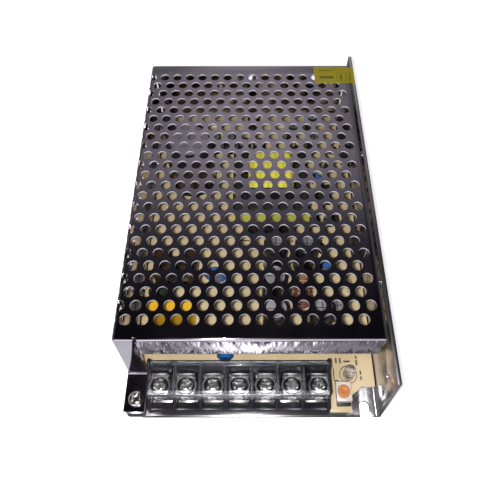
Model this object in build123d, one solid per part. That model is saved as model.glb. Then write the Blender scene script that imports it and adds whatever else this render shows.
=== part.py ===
from build123d import *
import os
from math import sqrt

os.makedirs("parts", exist_ok=True)

# Switching power supply in a folded case with a perforated cover. Millimetres.
# Origin: centre of the base, on its underside. X runs across the terminals, the
# terminals are at -Y, and +Z is up.

# Case
case_width = 98.0
case_length = 157.0
case_height = 42.0
chassis_sheet = 1.5
cover_sheet = 0.8
chassis_bend = 2.0  # outer radius of the chassis folds
cover_bend = 1.2  # outer radius of the cover folds
sheet_gap = 0.1  # between the cover and the upstands inside it

# Cover
cover_front_setback = 14.7  # from the front of the base to the lip
cover_rear_setback = 6.7
cover_side_gap = 0.9  # between the cover's right edge and the chassis wall
lip_drop = 13.2
side_flange_drop = 8.0
side_wall_lift = 1.0  # gap under the cover's left wall
corner_relief = 1.6
corner_slit = 0.4

# Perforation: round holes on a triangular grid, cut with a few flats each
hole_diameter = 4.2
hole_pitch = 6.0
hole_flats = 6
first_hole_inset = 1.0  # from the left edge to the first hole of a long row
last_hole_margin = 3.0  # kept free of hole centres at the right edge
rear_hole_margin = 7.0
front_row_setback = 7.5  # from the lip to the first row
wall_hole_columns = 2
first_wall_hole_drop = 2.4

# Foot tab of the cover and the raised step that it is screwed to
step_width = 8.0
step_height = 5.5
step_front_setback = 0.3
step_rear_gap = 0.2
tab_front_setback = 0.7
foot_screw_inset_x = 4.3
foot_screw_setback = 5.1

# Chassis details
upstand_height = 12.0
upstand_front_setback = 16.5
rear_upstand_inset = 0.1
rear_upstand_inset_x = 11.0
wrap_screw_drop = 2.6
flange_screw_rise = 3.4
rear_screw_shares = [-0.63, 0.63]
side_screw_shares = [-0.19, 0.23]  # of the case's length, from its middle
flange_screw_shares = [-0.255, 0.127]
wall_top_gap = 0.8  # the right wall stops this far under the top of the cover
wall_front_setback = 0.4
notch_width = 3.9
notch_depth = 5.7
notch_inset_x = 6.1
base_hole_diameter = 3.0
base_hole_inset_x = 10.0
base_hole_inset_y = 18.5
wall_hole_diameter = 3.0
wall_hole_z = 28.6
wall_hole_front_inset = 6.7
wall_hole_rear_inset = 3.7

# Circuit board
board_sheet = 1.6
standoff_height = 3.7
board_edge_gap = 0.5
board_rear_gap = 0.4
board_front_setback = 0.4
tongue_right_gap = 10.2  # from the front tongue's edge to the wall
board_notch_setback = 9.5
board_notch_slope = [(0.0, -3.4), (3.4, -1.0), (4.4, 0.0)]  # from the notch's inner corner
board_left_cut_gap = 1.3
board_left_cut_setback = 17.0
standoff_inset_x = 6.5
standoff_front_share = 0.205  # of the board's length
standoff_rear_gap = 23.5
standoff_flats = 5.5
board_screw_thread = 3.0
board_screw_hole = 3.4
board_screw_tip_gap = 1.0
insulation_sheet = 0.3
insulation_margin = 1.2
insulation_front_setback = 22.5
insulation_post_gap = 1.0
insulation_hole_gap = 2.0

# Terminal block
pole_count = 7
block_left_gap = 1.55  # from the raised step to the block
block_right_gap = 2.6  # from the block to the trimmer
block_front_setback = 0.5
block_depth = 15.5
block_end_extra = 0.85
pole_wall = 1.2
block_floor = 2.2
block_front_lip = 2.8
apron_base_gap = 0.3  # under the front wall that hides the board's edge
apron_board_gap = 0.2
block_height = 11.1
block_rear_wall = 1.5
partition_nose_height = 4.2
partition_nose_length = 3.8
partition_nose_slope = 1.6
ear_wall = 0.9
ear_length = 3.5
ear_rise = 3.3
ear_root = 0.5
ear_round = 1.65
screw_from_rear = 7.4

# Hinged cover over the terminals
hinge_from_rear = 1.75
hinge_rise = 1.3
flap_sheet = 1.2
knuckle_radius = 0.9
hinge_pin_radius = 0.7
running_gap = 0.05
flap_end_gap = 0.2
flap_drop = 5.8
flap_nose_gap = 0.4

# Terminal hardware
contact_side_gap = 0.55
contact_sheet = 0.8
contact_front_gap = 2.6
contact_length = 10.4
contact_pin = 1.2
contact_tab_width = 5.4
contact_tab_height = 2.6
contact_pin_from_rear = 3.2
clamp_side_gap = 0.25
clamp_length = 6.6
clamp_sheet = 0.8
clamp_rim = 1.3
clamp_rim_sheet = 0.6
clamp_hole_gap = 0.15
screw_tip_gap = 0.4  # from a terminal screw's tip to the board
terminal_thread = 3.5
nut_gap = 0.3
head_side_gap = 0.15
terminal_head_height = 2.4
head_dome = [(1.0, 0.5), (0.84, 0.86), (0.5, 1.0)]  # shares of its radius and height
drive_share = 0.62
drive_width = 0.9
drive_depth = 1.1

# Screws of the case
case_thread = 3.0
case_head = 5.5
case_head_height = 1.7
screw_gap = 0.1
screw_end = 1.2  # a screw's tip stands this far out of the sheet behind

# Trimmer and indicator
trimmer_inset_x = 3.1  # from the tongue's edge
trimmer_setback = 6.7
trimmer_width = 5.7
trimmer_length = 7.0
trimmer_base_length = 9.0
trimmer_base_height = 1.6
trimmer_frame_height = 2.6
trimmer_rotor_diameter = 4.5
trimmer_rotor_stand = 0.6
trimmer_base_inset = 0.2
trimmer_well_floor = 1.0
rotor_slot_share = 0.7
rotor_slot_width = 0.7
rotor_slot_depth = 0.6
indicator_inset_x = 0.2
indicator_setback = 14.0
indicator_diameter = 4.4
indicator_height = 7.4
indicator_flange = 5.0
indicator_flange_height = 1.0

# Power parts on the board
reservoir_place = (0.188, 0.728)
reservoir_diameter = 22.0
reservoir_height = 30.0
transformer_place = (0.580, 0.630)
core_width = 33.4
core_length = 33.0
core_stack = 12.7
core_leg = 5.4
core_centre_leg = 9.6
core_lift = 7.8
winding_width = 20.0
winding_height = 25.2
bobbin_flange = 1.2
bobbin_side_gap = 0.15
bobbin_rim = 0.8
bobbin_tube = 1.0
winding_corner = 3.0
core_tape = 0.3
core_tape_height = 8.5
pins_in_row = 5
pin_pitch = 4.6
pin_inset = 1.6
pin_side = 0.8
pin_gap = 0.1
pin_reach = 1.2
film_share_x = 0.142
film_from_post = 6.3
film_width = 18.6
film_depth = 6.4
film_height = 13.0
film_edge = 0.5
film_foot = 2.0
film_foot_rise = 0.5
choke_share_x = 0.143
choke_from_thermistor = 11.6
choke_width = 18.4
choke_depth = 12.2
choke_height = 13.2
choke_foot = 1.6
choke_leg = 2.8
choke_coil_side = 2.3
choke_coil_corner = 1.8
inductor_place = (0.714, 0.311)
inductor_length_share = 0.1088  # its diameter by the board's length
inductor_bore = 6.4
inductor_width = 7.2
output_cap_diameter = 10.0
output_cap_height = 20.0
output_cap_places = [
    (0.597, 0.411), (0.736, 0.411), (0.588, 0.312), (0.590, 0.220),
    (0.783, 0.222),
]
small_cap_diameter = 6.3
small_cap_height = 11.0
small_cap_places = [
    (0.291, 0.847), (0.371, 0.847), (0.448, 0.823), (0.530, 0.819), (0.501, 0.939),
    (0.714, 0.898), (0.820, 0.939), (0.822, 0.850), (0.858, 0.255),
]
disc_thickness = 3.2
disc_places = [(0.330, 0.357, 10.0), (0.822, 0.704, 5.6), (0.832, 0.392, 5.6)]  # with their diameters
front_disc_share_x = 0.378
front_disc_from_block = 3.9
front_disc_diameter = 6.4
thermistor_share_x = 0.072
thermistor_from_film = 8.5
thermistor_diameter = 8.0
thermistor_thickness = 3.6
bridge_inset_x = 3.9
bridge_from_post = 11.7
bridge_corner = 3.0
bridge_leg = 1.0
bridge_leg_pitch = 5.0
bridge_length = 18.0
bridge_height = 15.0
bridge_thickness = 3.6
fuse_share_x = 0.205
fuse_before_post = 5.0
fuse_lift = 1.4
fuse_glass_inset = 0.2
fuse_clip_inset = 0.8
fuse_clip_half = 1.4
fuse_clip_mouth = 1.6
fuse_length = 20.0
fuse_diameter = 5.0
fuse_cap_length = 5.0
fuse_clip_sheet = 0.5

# Semiconductors
package_width = 10.2
package_height = 9.2
package_depth = 3.2
package_tab = 1.3
package_tab_height = 6.4
package_lead = 4.2
package_pad = 0.2
package_screw_drop = 2.8
package_chamfer = 0.5
package_pad_margin = 0.8
leg_pitch = 2.54
leg_width = 0.9
leg_sheet = 0.6
leg_from_tab = 0.6
rectifier_share = 0.441
transistor_share = 0.793
transistor_gap = 3.6
chip_place = (0.856, 0.653)
chip_length = 9.8
chip_width = 6.4
chip_height = 3.4
coupler_place = (0.837, 0.554)
coupler_spacing = 8.8
coupler_length = 4.6
chip_lift = 0.5
chip_edge = 0.4
chip_mark = 0.8
pin_blade = 0.6
pin_sheet = 0.3
pin_level = 0.4  # share of the package's height

# Small axial parts: place on the board and whether they lie along Y
resistor_places = [
    (0.280, 0.946, False), (0.431, 0.893, False), (0.596, 0.875, False), (0.940, 0.694, True),
    (0.087, 0.610, False), (0.938, 0.341, True), (0.910, 0.173, False), (0.646, 0.946, False),
]
resistor_length = 6.4
resistor_diameter = 2.4
diode_places = [
    (0.173, 0.895, False), (0.731, 0.841, True), (0.886, 0.762, True),
    (0.826, 0.460, True),
]
diode_length = 4.6
diode_diameter = 2.7
lead_side = 0.6
lead_reach = 2.0
axial_edge = 0.4
link_height = 1.0
link_places = [(-12.5, 2.1, 6.4), (-12.5, 4.3, 6.4), (5.7, 4.5, 9.0)]  # x from the core, gap to it, length

# Shares that shape the parts
disc_edge_share = 0.3
inductor_edge_share = 0.28
can_crimp_share = 0.06
can_rim_share = 0.08
can_top_drop = 0.5
disc_leg_share = 0.25

# Planes that several pieces share
left = -case_width / 2
right = case_width / 2
front = -case_length / 2
rear = case_length / 2
wall_inner = right - chassis_sheet
cover_right = wall_inner - cover_side_gap
cover_front = front + cover_front_setback
cover_rear = rear - cover_rear_setback
cover_ceiling = case_height - cover_sheet
upstand_outer = left + cover_sheet + sheet_gap
upstand_inner = upstand_outer + chassis_sheet
board_underside = chassis_sheet + standoff_height
board_top = board_underside + board_sheet
step_right = left + step_width
step_front = front + step_front_setback
step_rear = cover_front - step_rear_gap
base_hole_places = [
    (x, y) for x in (left + base_hole_inset_x, right - base_hole_inset_x)
    for y in (front + base_hole_inset_y, rear - base_hole_inset_y)
]
rear_upstand_face = cover_rear - cover_sheet - rear_upstand_inset
rear_upstand_inner = rear_upstand_face - chassis_sheet
board_right = wall_inner - board_edge_gap
board_left = upstand_inner + board_edge_gap
board_rear = rear_upstand_inner - board_rear_gap
board_front = front + board_front_setback
board_width = board_right - board_left
board_length = board_rear - board_front
tongue_right = wall_inner - tongue_right_gap


def on_board(share_x, share_y):
    """Point of the board from shares of its width and length."""
    return board_left + share_x * board_width, board_front + share_y * board_length


standoff_places = [
    (side * (board_right - standoff_inset_x), y) for side in (-1, 1)
    for y in (board_front + standoff_front_share * board_length, board_rear - standoff_rear_gap)
]
block_front = front + block_front_setback
block_rear = block_front + block_depth
block_left = step_right + block_left_gap
block_right = tongue_right - trimmer_inset_x - trimmer_width / 2 - block_right_gap
block_centre_x = (block_left + block_right) / 2
pole_pitch = (block_right - block_left - 2 * block_end_extra) / pole_count  # 9.5 in this case
block_top = board_top + block_height
pole_floor = board_top + block_floor
screw_y = block_rear - screw_from_rear
contact_top = pole_floor + contact_sheet
clamp_top = contact_top + clamp_sheet
hinge_y = block_rear - hinge_from_rear
contact_pin_y = block_rear - contact_pin_from_rear
contact_width = pole_pitch - pole_wall - 2 * contact_side_gap
clamp_width = pole_pitch - pole_wall - 2 * clamp_side_gap
terminal_head = clamp_width - 2 * clamp_rim_sheet - 2 * head_side_gap
hinge_z = block_top + hinge_rise
flap_nose_y = block_front + partition_nose_length - flap_nose_gap
pole_xs = [
    block_centre_x + (i - (pole_count - 1) / 2) * pole_pitch for i in range(pole_count)
]
reservoir_x, reservoir_y = on_board(*reservoir_place)
transformer_x, transformer_y = on_board(*transformer_place)
inductor_x, inductor_y = on_board(*inductor_place)
inductor_diameter = inductor_length_share * board_length
front_post_y = standoff_places[0][1]
rear_post_y = standoff_places[1][1]
film_x, film_y = board_left + film_share_x * board_width, front_post_y + film_from_post
thermistor_x, thermistor_y = board_left + thermistor_share_x * board_width, film_y + thermistor_from_film
choke_x, choke_y = board_left + choke_share_x * board_width, thermistor_y + choke_from_thermistor
fuse_x, fuse_y = board_left + fuse_share_x * board_width, front_post_y - fuse_before_post
bridge_x, bridge_y = board_left + bridge_inset_x, rear_post_y + bridge_from_post
front_disc_x = board_left + front_disc_share_x * board_width
rectifier_y = board_front + rectifier_share * board_length
first_transistor_y = board_front + transistor_share * board_length
transistor_places = [first_transistor_y, first_transistor_y + package_width + transistor_gap]
trimmer_x = tongue_right - trimmer_inset_x
trimmer_y = front + trimmer_setback
indicator_x = tongue_right - indicator_inset_x
indicator_y = front + indicator_setback
rear_upstand_half = right - rear_upstand_inset_x
rear_screw_places = [share * rear_upstand_half for share in rear_screw_shares]
side_screw_places = [share * case_length for share in side_screw_shares]
flange_screw_places = [share * case_length for share in flange_screw_shares]
flange_screw_z = case_height - side_flange_drop + flange_screw_rise
wrap_screw_z = upstand_height - wrap_screw_drop


def block(x0, x1, y0, y1, z0, z1):
    """A box from its two corners."""
    return Pos((x0 + x1) / 2, (y0 + y1) / 2, (z0 + z1) / 2) * Box(x1 - x0, y1 - y0, z1 - z0)


def rod(x, y, z0, z1, diameter):
    """A round bar that stands along Z."""
    return Pos(x, y, (z0 + z1) / 2) * Cylinder(diameter / 2, z1 - z0)


def square_pin(x, y, z0, z1, side):
    return block(x - side / 2, x + side / 2, y - side / 2, y + side / 2, z0, z1)


def rod_along_x(x0, x1, y, z, diameter):
    return Pos((x0 + x1) / 2, y, z) * Rot(0, 90, 0) * Cylinder(diameter / 2, x1 - x0)


def rod_along_y(x, y0, y1, z, diameter):
    return Pos(x, (y0 + y1) / 2, z) * Rot(90, 0, 0) * Cylinder(diameter / 2, y1 - y0)


def save(name, *solids):
    """Write one node, which holds one solid or a group of separate ones."""
    shape = solids[0] if len(solids) == 1 else Compound(children=list(solids))
    export_step(shape, f"parts/{name}.step")


def edges_at(shape, axis, x=None, y=None, z=None, reach=1e-3):
    """Edges along one axis whose middle lies at the given places."""
    found = shape.edges().filter_by(axis)
    for value, part in ((x, "X"), (y, "Y"), (z, "Z")):
        if value is not None:
            found = found.filter_by(lambda e, v=value, p=part: abs(getattr(e.center(), p) - v) < reach)
    return found


def cross_recess(head):
    reach = head * drive_share
    return Box(reach, drive_width, drive_depth * 2) + Box(drive_width, reach, drive_depth * 2)


def pan_screw(thread, head, head_height, length):
    """A screw along -Z with the underside of its head at the origin."""
    dome = [(head / 2 * across, head_height * up) for across, up in head_dome]
    outline = Polyline((0, -length), (thread / 2, -length), (thread / 2, 0), (head / 2, 0), *dome,
                       (0, head_height), close=True)
    body = revolve(Plane.XZ * make_face(outline), Axis.Z)
    return body - Pos(0, 0, head_height) * cross_recess(head)


def flat_screw(length):
    """A countersunk screw along -Z with the face of its head at the origin."""
    depth = (case_head - case_thread) / 2
    body = Pos(0, 0, -depth / 2) * Cone(case_thread / 2, case_head / 2, depth)
    body += Pos(0, 0, -length / 2) * Cylinder(case_thread / 2, length)
    return body - cross_recess(case_head)


def flat_screw_hole(reach):
    """Cutter for a countersunk screw, with its clearance all round."""
    depth = (case_head - case_thread) / 2
    hole = Pos(0, 0, -depth / 2) * Cone(case_thread / 2 + screw_gap, case_head / 2 + screw_gap, depth)
    hole += rod(0, 0, 0, cover_sheet, case_head + 2 * screw_gap)
    return hole + Pos(0, 0, -reach / 2) * Cylinder(case_thread / 2 + screw_gap, reach)


def chassis():
    """Base, full-height right wall, low left and rear upstands: one folded sheet."""
    inner_bend = chassis_bend - chassis_sheet
    base_left = step_right - chassis_sheet
    base = block(base_left, right, front, rear, 0, chassis_sheet)
    base += block(upstand_outer, base_left, front + upstand_front_setback, rear, 0, chassis_sheet)

    wall = block(wall_inner, right, front + wall_front_setback, rear, 0, case_height - wall_top_gap)
    wall_fill = block(wall_inner - inner_bend, wall_inner, front + wall_front_setback, rear,
                      chassis_sheet, chassis_sheet + inner_bend)
    wall_fill -= rod_along_y(wall_inner - inner_bend, front, rear, chassis_sheet + inner_bend,
                             2 * inner_bend)
    body = base + wall + wall_fill
    body = fillet(edges_at(body, Axis.Y, x=right, z=0), chassis_bend)

    upstand = block(upstand_outer, upstand_inner, front + upstand_front_setback,
                    rear_upstand_inner - chassis_sheet, 0, upstand_height)
    body += upstand
    body += block(-rear_upstand_half, rear_upstand_half, rear_upstand_inner,
                  rear_upstand_face, 0, upstand_height)
    body -= block(-rear_upstand_half, rear_upstand_half, rear_upstand_face,
                  rear + 1, -1, chassis_sheet + 1)
    body = fillet(edges_at(body, Axis.Y, x=upstand_outer, z=0), chassis_bend / 2)
    body = fillet(edges_at(body, Axis.X, y=rear_upstand_face, z=0), chassis_bend / 2)

    body += raised_step()
    for x, y in base_hole_places:
        body -= rod(x, y, -1, chassis_sheet + 1, base_hole_diameter)
    for y in (front + wall_hole_front_inset, rear - wall_hole_rear_inset):
        body -= rod_along_x(wall_inner - 1, right + 1, y, wall_hole_z, wall_hole_diameter)
    for end, inward in ((front, 1), (rear, -1)):
        body -= mounting_notch(end, inward)
    for hole in case_screw_holes() + package_screw_holes():
        body -= hole
    return body


def raised_step():
    """Hollow step, open below, that lifts the cover's foot tab to its height."""
    outer = block(left, step_right, step_front, step_rear, 0, step_height)
    outer = fillet(edges_at(outer, Axis.Z, x=left, y=step_front), chassis_bend)
    inner = block(left + chassis_sheet, step_right - chassis_sheet, step_front + chassis_sheet,
                  step_rear + 1, -1, step_height - chassis_sheet)
    x, y = foot_screw_place()
    return outer - inner - rod(x, y, -1, step_height + 1, case_thread + 2 * screw_gap)


def foot_screw_place():
    return left + foot_screw_inset_x, front + foot_screw_setback


def mounting_notch(end, inward):
    """Open notch in an edge of the base, as deep as notch_depth."""
    tip = end + inward * (notch_depth - notch_width / 2)
    ends = sorted((end - inward, tip))
    x = right - notch_inset_x
    slot = block(x - notch_width / 2, x + notch_width / 2, ends[0], ends[1], -1, chassis_sheet + 1)
    return slot + rod(x, tip, -1, chassis_sheet + 1, notch_width)


def case_screw_holes():
    """Clearance holes for the screws that join the cover to the chassis."""
    size = case_thread + 2 * screw_gap
    holes = [rod_along_y(x, rear_upstand_inner - 1, cover_rear + 1, wrap_screw_z, size)
             for x in rear_screw_places]
    reach = upstand_inner - left + 1
    holes += [Pos(left, y, wrap_screw_z) * Rot(0, -90, 0) * flat_screw_hole(reach)
              for y in side_screw_places]
    reach = right - cover_right + cover_sheet + 1
    holes += [Pos(right, y, flange_screw_z) * Rot(0, 90, 0) * flat_screw_hole(reach)
              for y in flange_screw_places]
    return holes


def package_screw_holes():
    return [rod_along_x(wall_inner - 1, right + 1, y, package_screw_z(), case_thread + 2 * screw_gap)
            for y in transistor_places + [rectifier_y]]


def mesh_cover():
    """Perforated top, left wall, rear wall, front lip and flange: one folded sheet."""
    body = cover_shell()
    body = cut_to_flanges(body)
    body += foot_tab()
    for y in flange_screw_places:
        body += rod_along_x(cover_right, wall_inner - sheet_gap, y, flange_screw_z,
                            case_thread + 2 * cover_sheet)
    for hole in case_screw_holes():
        body -= hole
    return body - perforation()


def cover_shell():
    """Rounded box with one sheet of thickness and no floor."""
    outer = block(left, cover_right, cover_front, cover_rear, -case_height, case_height)
    inner = block(left + cover_sheet, cover_right - cover_sheet, cover_front + cover_sheet,
                  cover_rear - cover_sheet, -case_height, cover_ceiling)
    outer = fillet(upper_edges(outer, case_height), cover_bend)
    inner = fillet(upper_edges(inner, cover_ceiling), cover_bend - cover_sheet)
    shell = outer - inner
    below = block(left - 1, cover_right + 1, cover_front - 1, cover_rear + 1,
                  -case_height - 1, side_wall_lift)
    return shell - below


def upper_edges(box, top):
    """The four upright edges and the four edges round the top."""
    return box.edges().filter_by(lambda e: e.center().Z > top - 1e-3 or e.length > top * 1.9 and
                                 abs(e.tangent_at(0).Z) > 0.9)


def cut_to_flanges(shell):
    """Leave the lip, the front flange and the side flange, with open corners."""
    lip_bottom = case_height - lip_drop
    flange_bottom = case_height - side_flange_drop
    inside = cover_front + cover_bend
    body = shell - block(step_right + corner_slit / 2, cover_right + 1, cover_front - 1, inside,
                         -1, lip_bottom)
    body -= block(step_right - corner_slit / 2, step_right + corner_slit / 2, cover_front - 1,
                  inside, -1, case_height - corner_relief)
    body -= block(cover_right - cover_bend, cover_right + 1, cover_front - 1, cover_rear - cover_bend,
                  -1, flange_bottom)
    body -= block(cover_right - cover_bend, cover_right + 1, cover_rear - cover_bend, cover_rear + 1,
                  -1, case_height - cover_bend)
    body -= block(cover_right - cover_bend, cover_right + 1, cover_front - 1, inside,
                  -1, case_height - cover_bend)
    body -= block(left - 1, left + cover_bend, cover_rear - cover_bend, cover_rear + 1,
                  -1, case_height - cover_bend)
    body -= block(left - 1, step_right + corner_slit / 2, cover_front - 1, inside, -1, step_height)
    body -= block(left - 1, cover_right + 1, cover_rear - cover_bend, cover_rear + 1, -1,
                  chassis_sheet + sheet_gap)
    relief = Pos(step_right, cover_front, case_height) * Box(
        corner_relief, 2 * cover_bend, 2 * corner_relief)
    return body - relief


def foot_tab():
    """Tab bent forward from the foot of the front flange."""
    top = step_height + cover_sheet
    tab = block(left, step_right - corner_slit / 2, front + tab_front_setback,
                cover_front + cover_sheet, step_height, top)
    x, y = foot_screw_place()
    return tab - rod(x, y, step_height - 1, top + 1, case_thread + 2 * screw_gap)


def perforation():
    """Cutters for the holes of the top and for those of the left wall."""
    row_pitch = hole_pitch * sqrt(3) / 2
    first_row = cover_front + front_row_setback
    flat = RegularPolygon(hole_diameter / 2 * 1.1, hole_flats, rotation=30)
    upright = extrude(flat, 4 * cover_sheet)
    depth = case_height - 2 * cover_sheet
    drop = first_wall_hole_drop
    cutters = []
    rows = int((cover_rear - rear_hole_margin - first_row) / row_pitch) + 1
    for row in range(rows):
        y = first_row + row * row_pitch
        long_row = row % 2
        start = left + first_hole_inset + (0 if long_row else hole_pitch / 2)
        count = int((cover_right - last_hole_margin - start) / hole_pitch) + 1
        cutters += [Pos(start + i * hole_pitch, y, depth) * upright for i in range(count)]
        first = case_height - drop - (hole_pitch / 2 if long_row else 0)
        cutters += [
            Pos(left - cover_sheet, y, first - k * hole_pitch) * Rot(0, 90, 0) * upright
            for k in range(wall_hole_columns)
        ]
    return cutters


def board_outline():
    """Outline of the board: cut back for the step, the block's front wall and the notch."""
    cut_left = step_right + board_left_cut_gap
    cut_y = front + board_left_cut_setback
    notch_y = front + board_notch_setback
    slope = [(tongue_right + x, notch_y + y) for x, y in board_notch_slope]
    tongue_left = block_right + apron_board_gap
    apron_y = block_front + pole_wall + apron_board_gap
    return Polyline(
        (cut_left, apron_y), (tongue_left, apron_y), (tongue_left, board_front),
        (tongue_right, board_front), *slope, (board_right, notch_y), (board_right, board_rear),
        (board_left, board_rear), (board_left, cut_y), (cut_left, cut_y), close=True,
    )


def circuit_board():
    plate = Pos(0, 0, board_underside) * extrude(make_face(board_outline()), board_sheet)
    for x, y in standoff_places:
        plate -= rod(x, y, board_underside - 1, board_top + 1, board_screw_hole)
    for x in pole_xs:
        plate -= square_pin(x, contact_pin_y, board_underside - 1, board_top + 1, contact_pin + 2 * pin_gap)
    for x, y in pin_places():
        plate -= square_pin(x, y, board_underside - 1, board_top + 1, pin_side + 2 * pin_gap)
    return plate


def standoffs():
    hexagon = RegularPolygon(standoff_flats / 2, 6, major_radius=False)
    post = extrude(hexagon, standoff_height)
    bore = rod(0, 0, -1, standoff_height + 1, board_screw_thread + 2 * screw_gap)
    return [Pos(x, y, chassis_sheet) * (post - bore) for x, y in standoff_places]


def board_screws():
    length = board_sheet + standoff_height - board_screw_tip_gap
    screw = pan_screw(board_screw_thread, case_head, case_head_height, length)
    return [Pos(x, y, board_top) * screw for x, y in standoff_places]


def insulation():
    sheet = block(upstand_inner + insulation_margin, wall_inner - chassis_bend - insulation_margin,
                  front + insulation_front_setback, rear_upstand_inner - insulation_margin,
                  chassis_sheet, chassis_sheet + insulation_sheet)
    for x, y in standoff_places:
        sheet -= rod(x, y, 0, board_underside, standoff_flats + 2 * insulation_post_gap)
    for x, y in base_hole_places:
        sheet -= rod(x, y, 0, board_underside, base_hole_diameter + 2 * insulation_hole_gap)
    return sheet


def terminal_block_body():
    """Moulded row of poles with a rear wall, hinge ears and a front wall down past the board."""
    nose = block_front + partition_nose_length
    wall_profile = Polyline(
        (block_front, board_top), (block_rear, board_top), (block_rear, block_top),
        (nose, block_top), (nose, board_top + partition_nose_height + partition_nose_slope),
        (block_front, board_top + partition_nose_height), close=True,
    )
    wall = extrude(Plane.YZ * make_face(wall_profile), pole_wall)
    body = block(block_left, block_right, block_front, block_rear, board_top, pole_floor)
    body += block(block_left, block_right, block_front, block_front + pole_wall,
                  chassis_sheet + apron_base_gap, board_top + block_front_lip)
    body += block(block_left, block_right, block_rear - block_rear_wall, block_rear, board_top,
                  block_top)
    for i in range(1, pole_count):
        middle = block_centre_x + (i - pole_count / 2) * pole_pitch
        body += Pos(middle - pole_wall / 2, 0, 0) * wall
    end_wall = extrude(Plane.YZ * make_face(wall_profile), pole_wall / 2 + block_end_extra)
    body += Pos(block_left, 0, 0) * end_wall
    body += Pos(block_right - pole_wall / 2 - block_end_extra, 0, 0) * end_wall
    for x0 in (block_left, block_right - ear_wall):
        ear = block(x0, x0 + ear_wall, block_rear - ear_length, block_rear, block_top - ear_root,
                    block_top + ear_rise)
        ear = fillet(edges_at(ear, Axis.X, z=block_top + ear_rise), ear_round)
        body += ear
    body -= rod_along_x(block_left - 1, block_right + 1, hinge_y, hinge_z,
                        2 * (hinge_pin_radius + running_gap))
    for x in pole_xs:
        body -= rod(x, screw_y, board_top - 1, pole_floor + 1, terminal_thread + 2 * nut_gap)
        body -= square_pin(x, contact_pin_y, board_top - 1, pole_floor + 1, contact_pin + 2 * pin_gap)
    return body


def terminal_contacts():
    """Tinned plates on the floor of the poles, with a tab behind and a pin through the board."""
    y0 = block_front + contact_front_gap
    y1 = y0 + contact_length
    contacts = []
    for x in pole_xs:
        plate = block(x - contact_width / 2, x + contact_width / 2, y0, y1, pole_floor, contact_top)
        plate += block(x - contact_tab_width / 2, x + contact_tab_width / 2, y1 - contact_sheet, y1,
                       pole_floor, pole_floor + contact_tab_height)
        plate += square_pin(x, contact_pin_y, board_underside - pin_reach, pole_floor, contact_pin)
        plate -= rod(x, screw_y, pole_floor - 1, contact_top + 1, terminal_thread + 2 * running_gap)
        contacts.append(plate)
    return contacts


def clamp_plate(x):
    """Round wire clamp under the screw head, cut flat in front and behind, its sides turned up."""
    cup = rod(x, screw_y, contact_top, clamp_top + clamp_rim, clamp_width)
    cup -= rod(x, screw_y, clamp_top, clamp_top + 2 * clamp_rim, clamp_width - 2 * clamp_rim_sheet)
    cup &= block(x - clamp_width, x + clamp_width, screw_y - clamp_length / 2,
                 screw_y + clamp_length / 2, contact_top, clamp_top + clamp_rim)
    return cup - rod(x, screw_y, contact_top - 1, clamp_top + 1, terminal_thread + 2 * clamp_hole_gap)


def terminal_screw(x):
    length = clamp_top - board_top - screw_tip_gap
    screw = pan_screw(terminal_thread, terminal_head, terminal_head_height, length)
    return Pos(x, screw_y, clamp_top) * screw


def terminal_cover():
    """Clear flap with a turned-down front edge and a pin at each end of its hinge."""
    x0 = block_left + ear_wall + flap_end_gap
    x1 = block_right - ear_wall - flap_end_gap
    top = hinge_z + flap_sheet / 2
    nose = flap_nose_y
    profile = Polyline(
        (hinge_y, top), (nose, top), (nose - flap_sheet, top - flap_sheet),
        (nose - flap_sheet, top - flap_drop), (nose, top - flap_drop),
        (nose, top - 1.6 * flap_sheet), (nose + 0.6 * flap_sheet, top - flap_sheet),
        (hinge_y, top - flap_sheet), close=True,
    )
    flap = Pos(x0, 0, 0) * extrude(Plane.YZ * make_face(profile), x1 - x0)
    flap += rod_along_x(x0, x1, hinge_y, hinge_z, 2 * knuckle_radius)
    for start, end in ((block_left + running_gap, x0), (x1, block_right - running_gap)):
        flap += rod_along_x(start, end, hinge_y, hinge_z, 2 * hinge_pin_radius)
    return flap


def trimmer():
    """Base, frame and slotted rotor of the output voltage trimmer."""
    base_top = board_top + trimmer_base_height
    frame_top = base_top + trimmer_frame_height
    base_half = trimmer_width / 2 - trimmer_base_inset
    base = block(trimmer_x - base_half, trimmer_x + base_half, trimmer_y - trimmer_base_length / 2,
                 trimmer_y + trimmer_base_length / 2, board_top, base_top)
    frame = block(trimmer_x - trimmer_width / 2, trimmer_x + trimmer_width / 2,
                  trimmer_y - trimmer_length / 2, trimmer_y + trimmer_length / 2,
                  base_top, frame_top)
    well = trimmer_rotor_diameter + 4 * running_gap
    floor = base_top + trimmer_well_floor
    frame -= rod(trimmer_x, trimmer_y, floor, frame_top + 1, well)
    rotor = rod(trimmer_x, trimmer_y, floor, frame_top + trimmer_rotor_stand, trimmer_rotor_diameter)
    reach = trimmer_rotor_diameter * rotor_slot_share
    slot = Box(reach, rotor_slot_width, 2 * rotor_slot_depth)
    slot += Box(rotor_slot_width, reach, 2 * rotor_slot_depth)
    rotor -= Pos(trimmer_x, trimmer_y, frame_top + trimmer_rotor_stand) * slot
    return base, frame, rotor


def indicator():
    """Round indicator lamp with a domed top and a collar."""
    radius = indicator_diameter / 2
    body = rod(indicator_x, indicator_y, board_top, board_top + indicator_height - radius,
               indicator_diameter)
    body += rod(indicator_x, indicator_y, board_top, board_top + indicator_flange_height,
                indicator_flange)
    dome = Pos(indicator_x, indicator_y, board_top + indicator_height - radius) * Sphere(radius)
    return body + dome


def electrolytic(x, y, diameter, height):
    """Can on the board with a crimp near its foot and a recessed top."""
    r = diameter / 2
    crimp = can_crimp_share * diameter
    rim = can_rim_share * diameter
    outline = Polyline(
        (0, 0), (r, 0), (r, 2 * crimp), (r - crimp, 3 * crimp), (r, 4 * crimp), (r, height),
        (r - rim, height), (r - rim, height - can_top_drop), (0, height - can_top_drop), close=True,
    )
    return Pos(x, y, board_top) * revolve(Plane.XZ * make_face(outline), Axis.Z)


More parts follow.
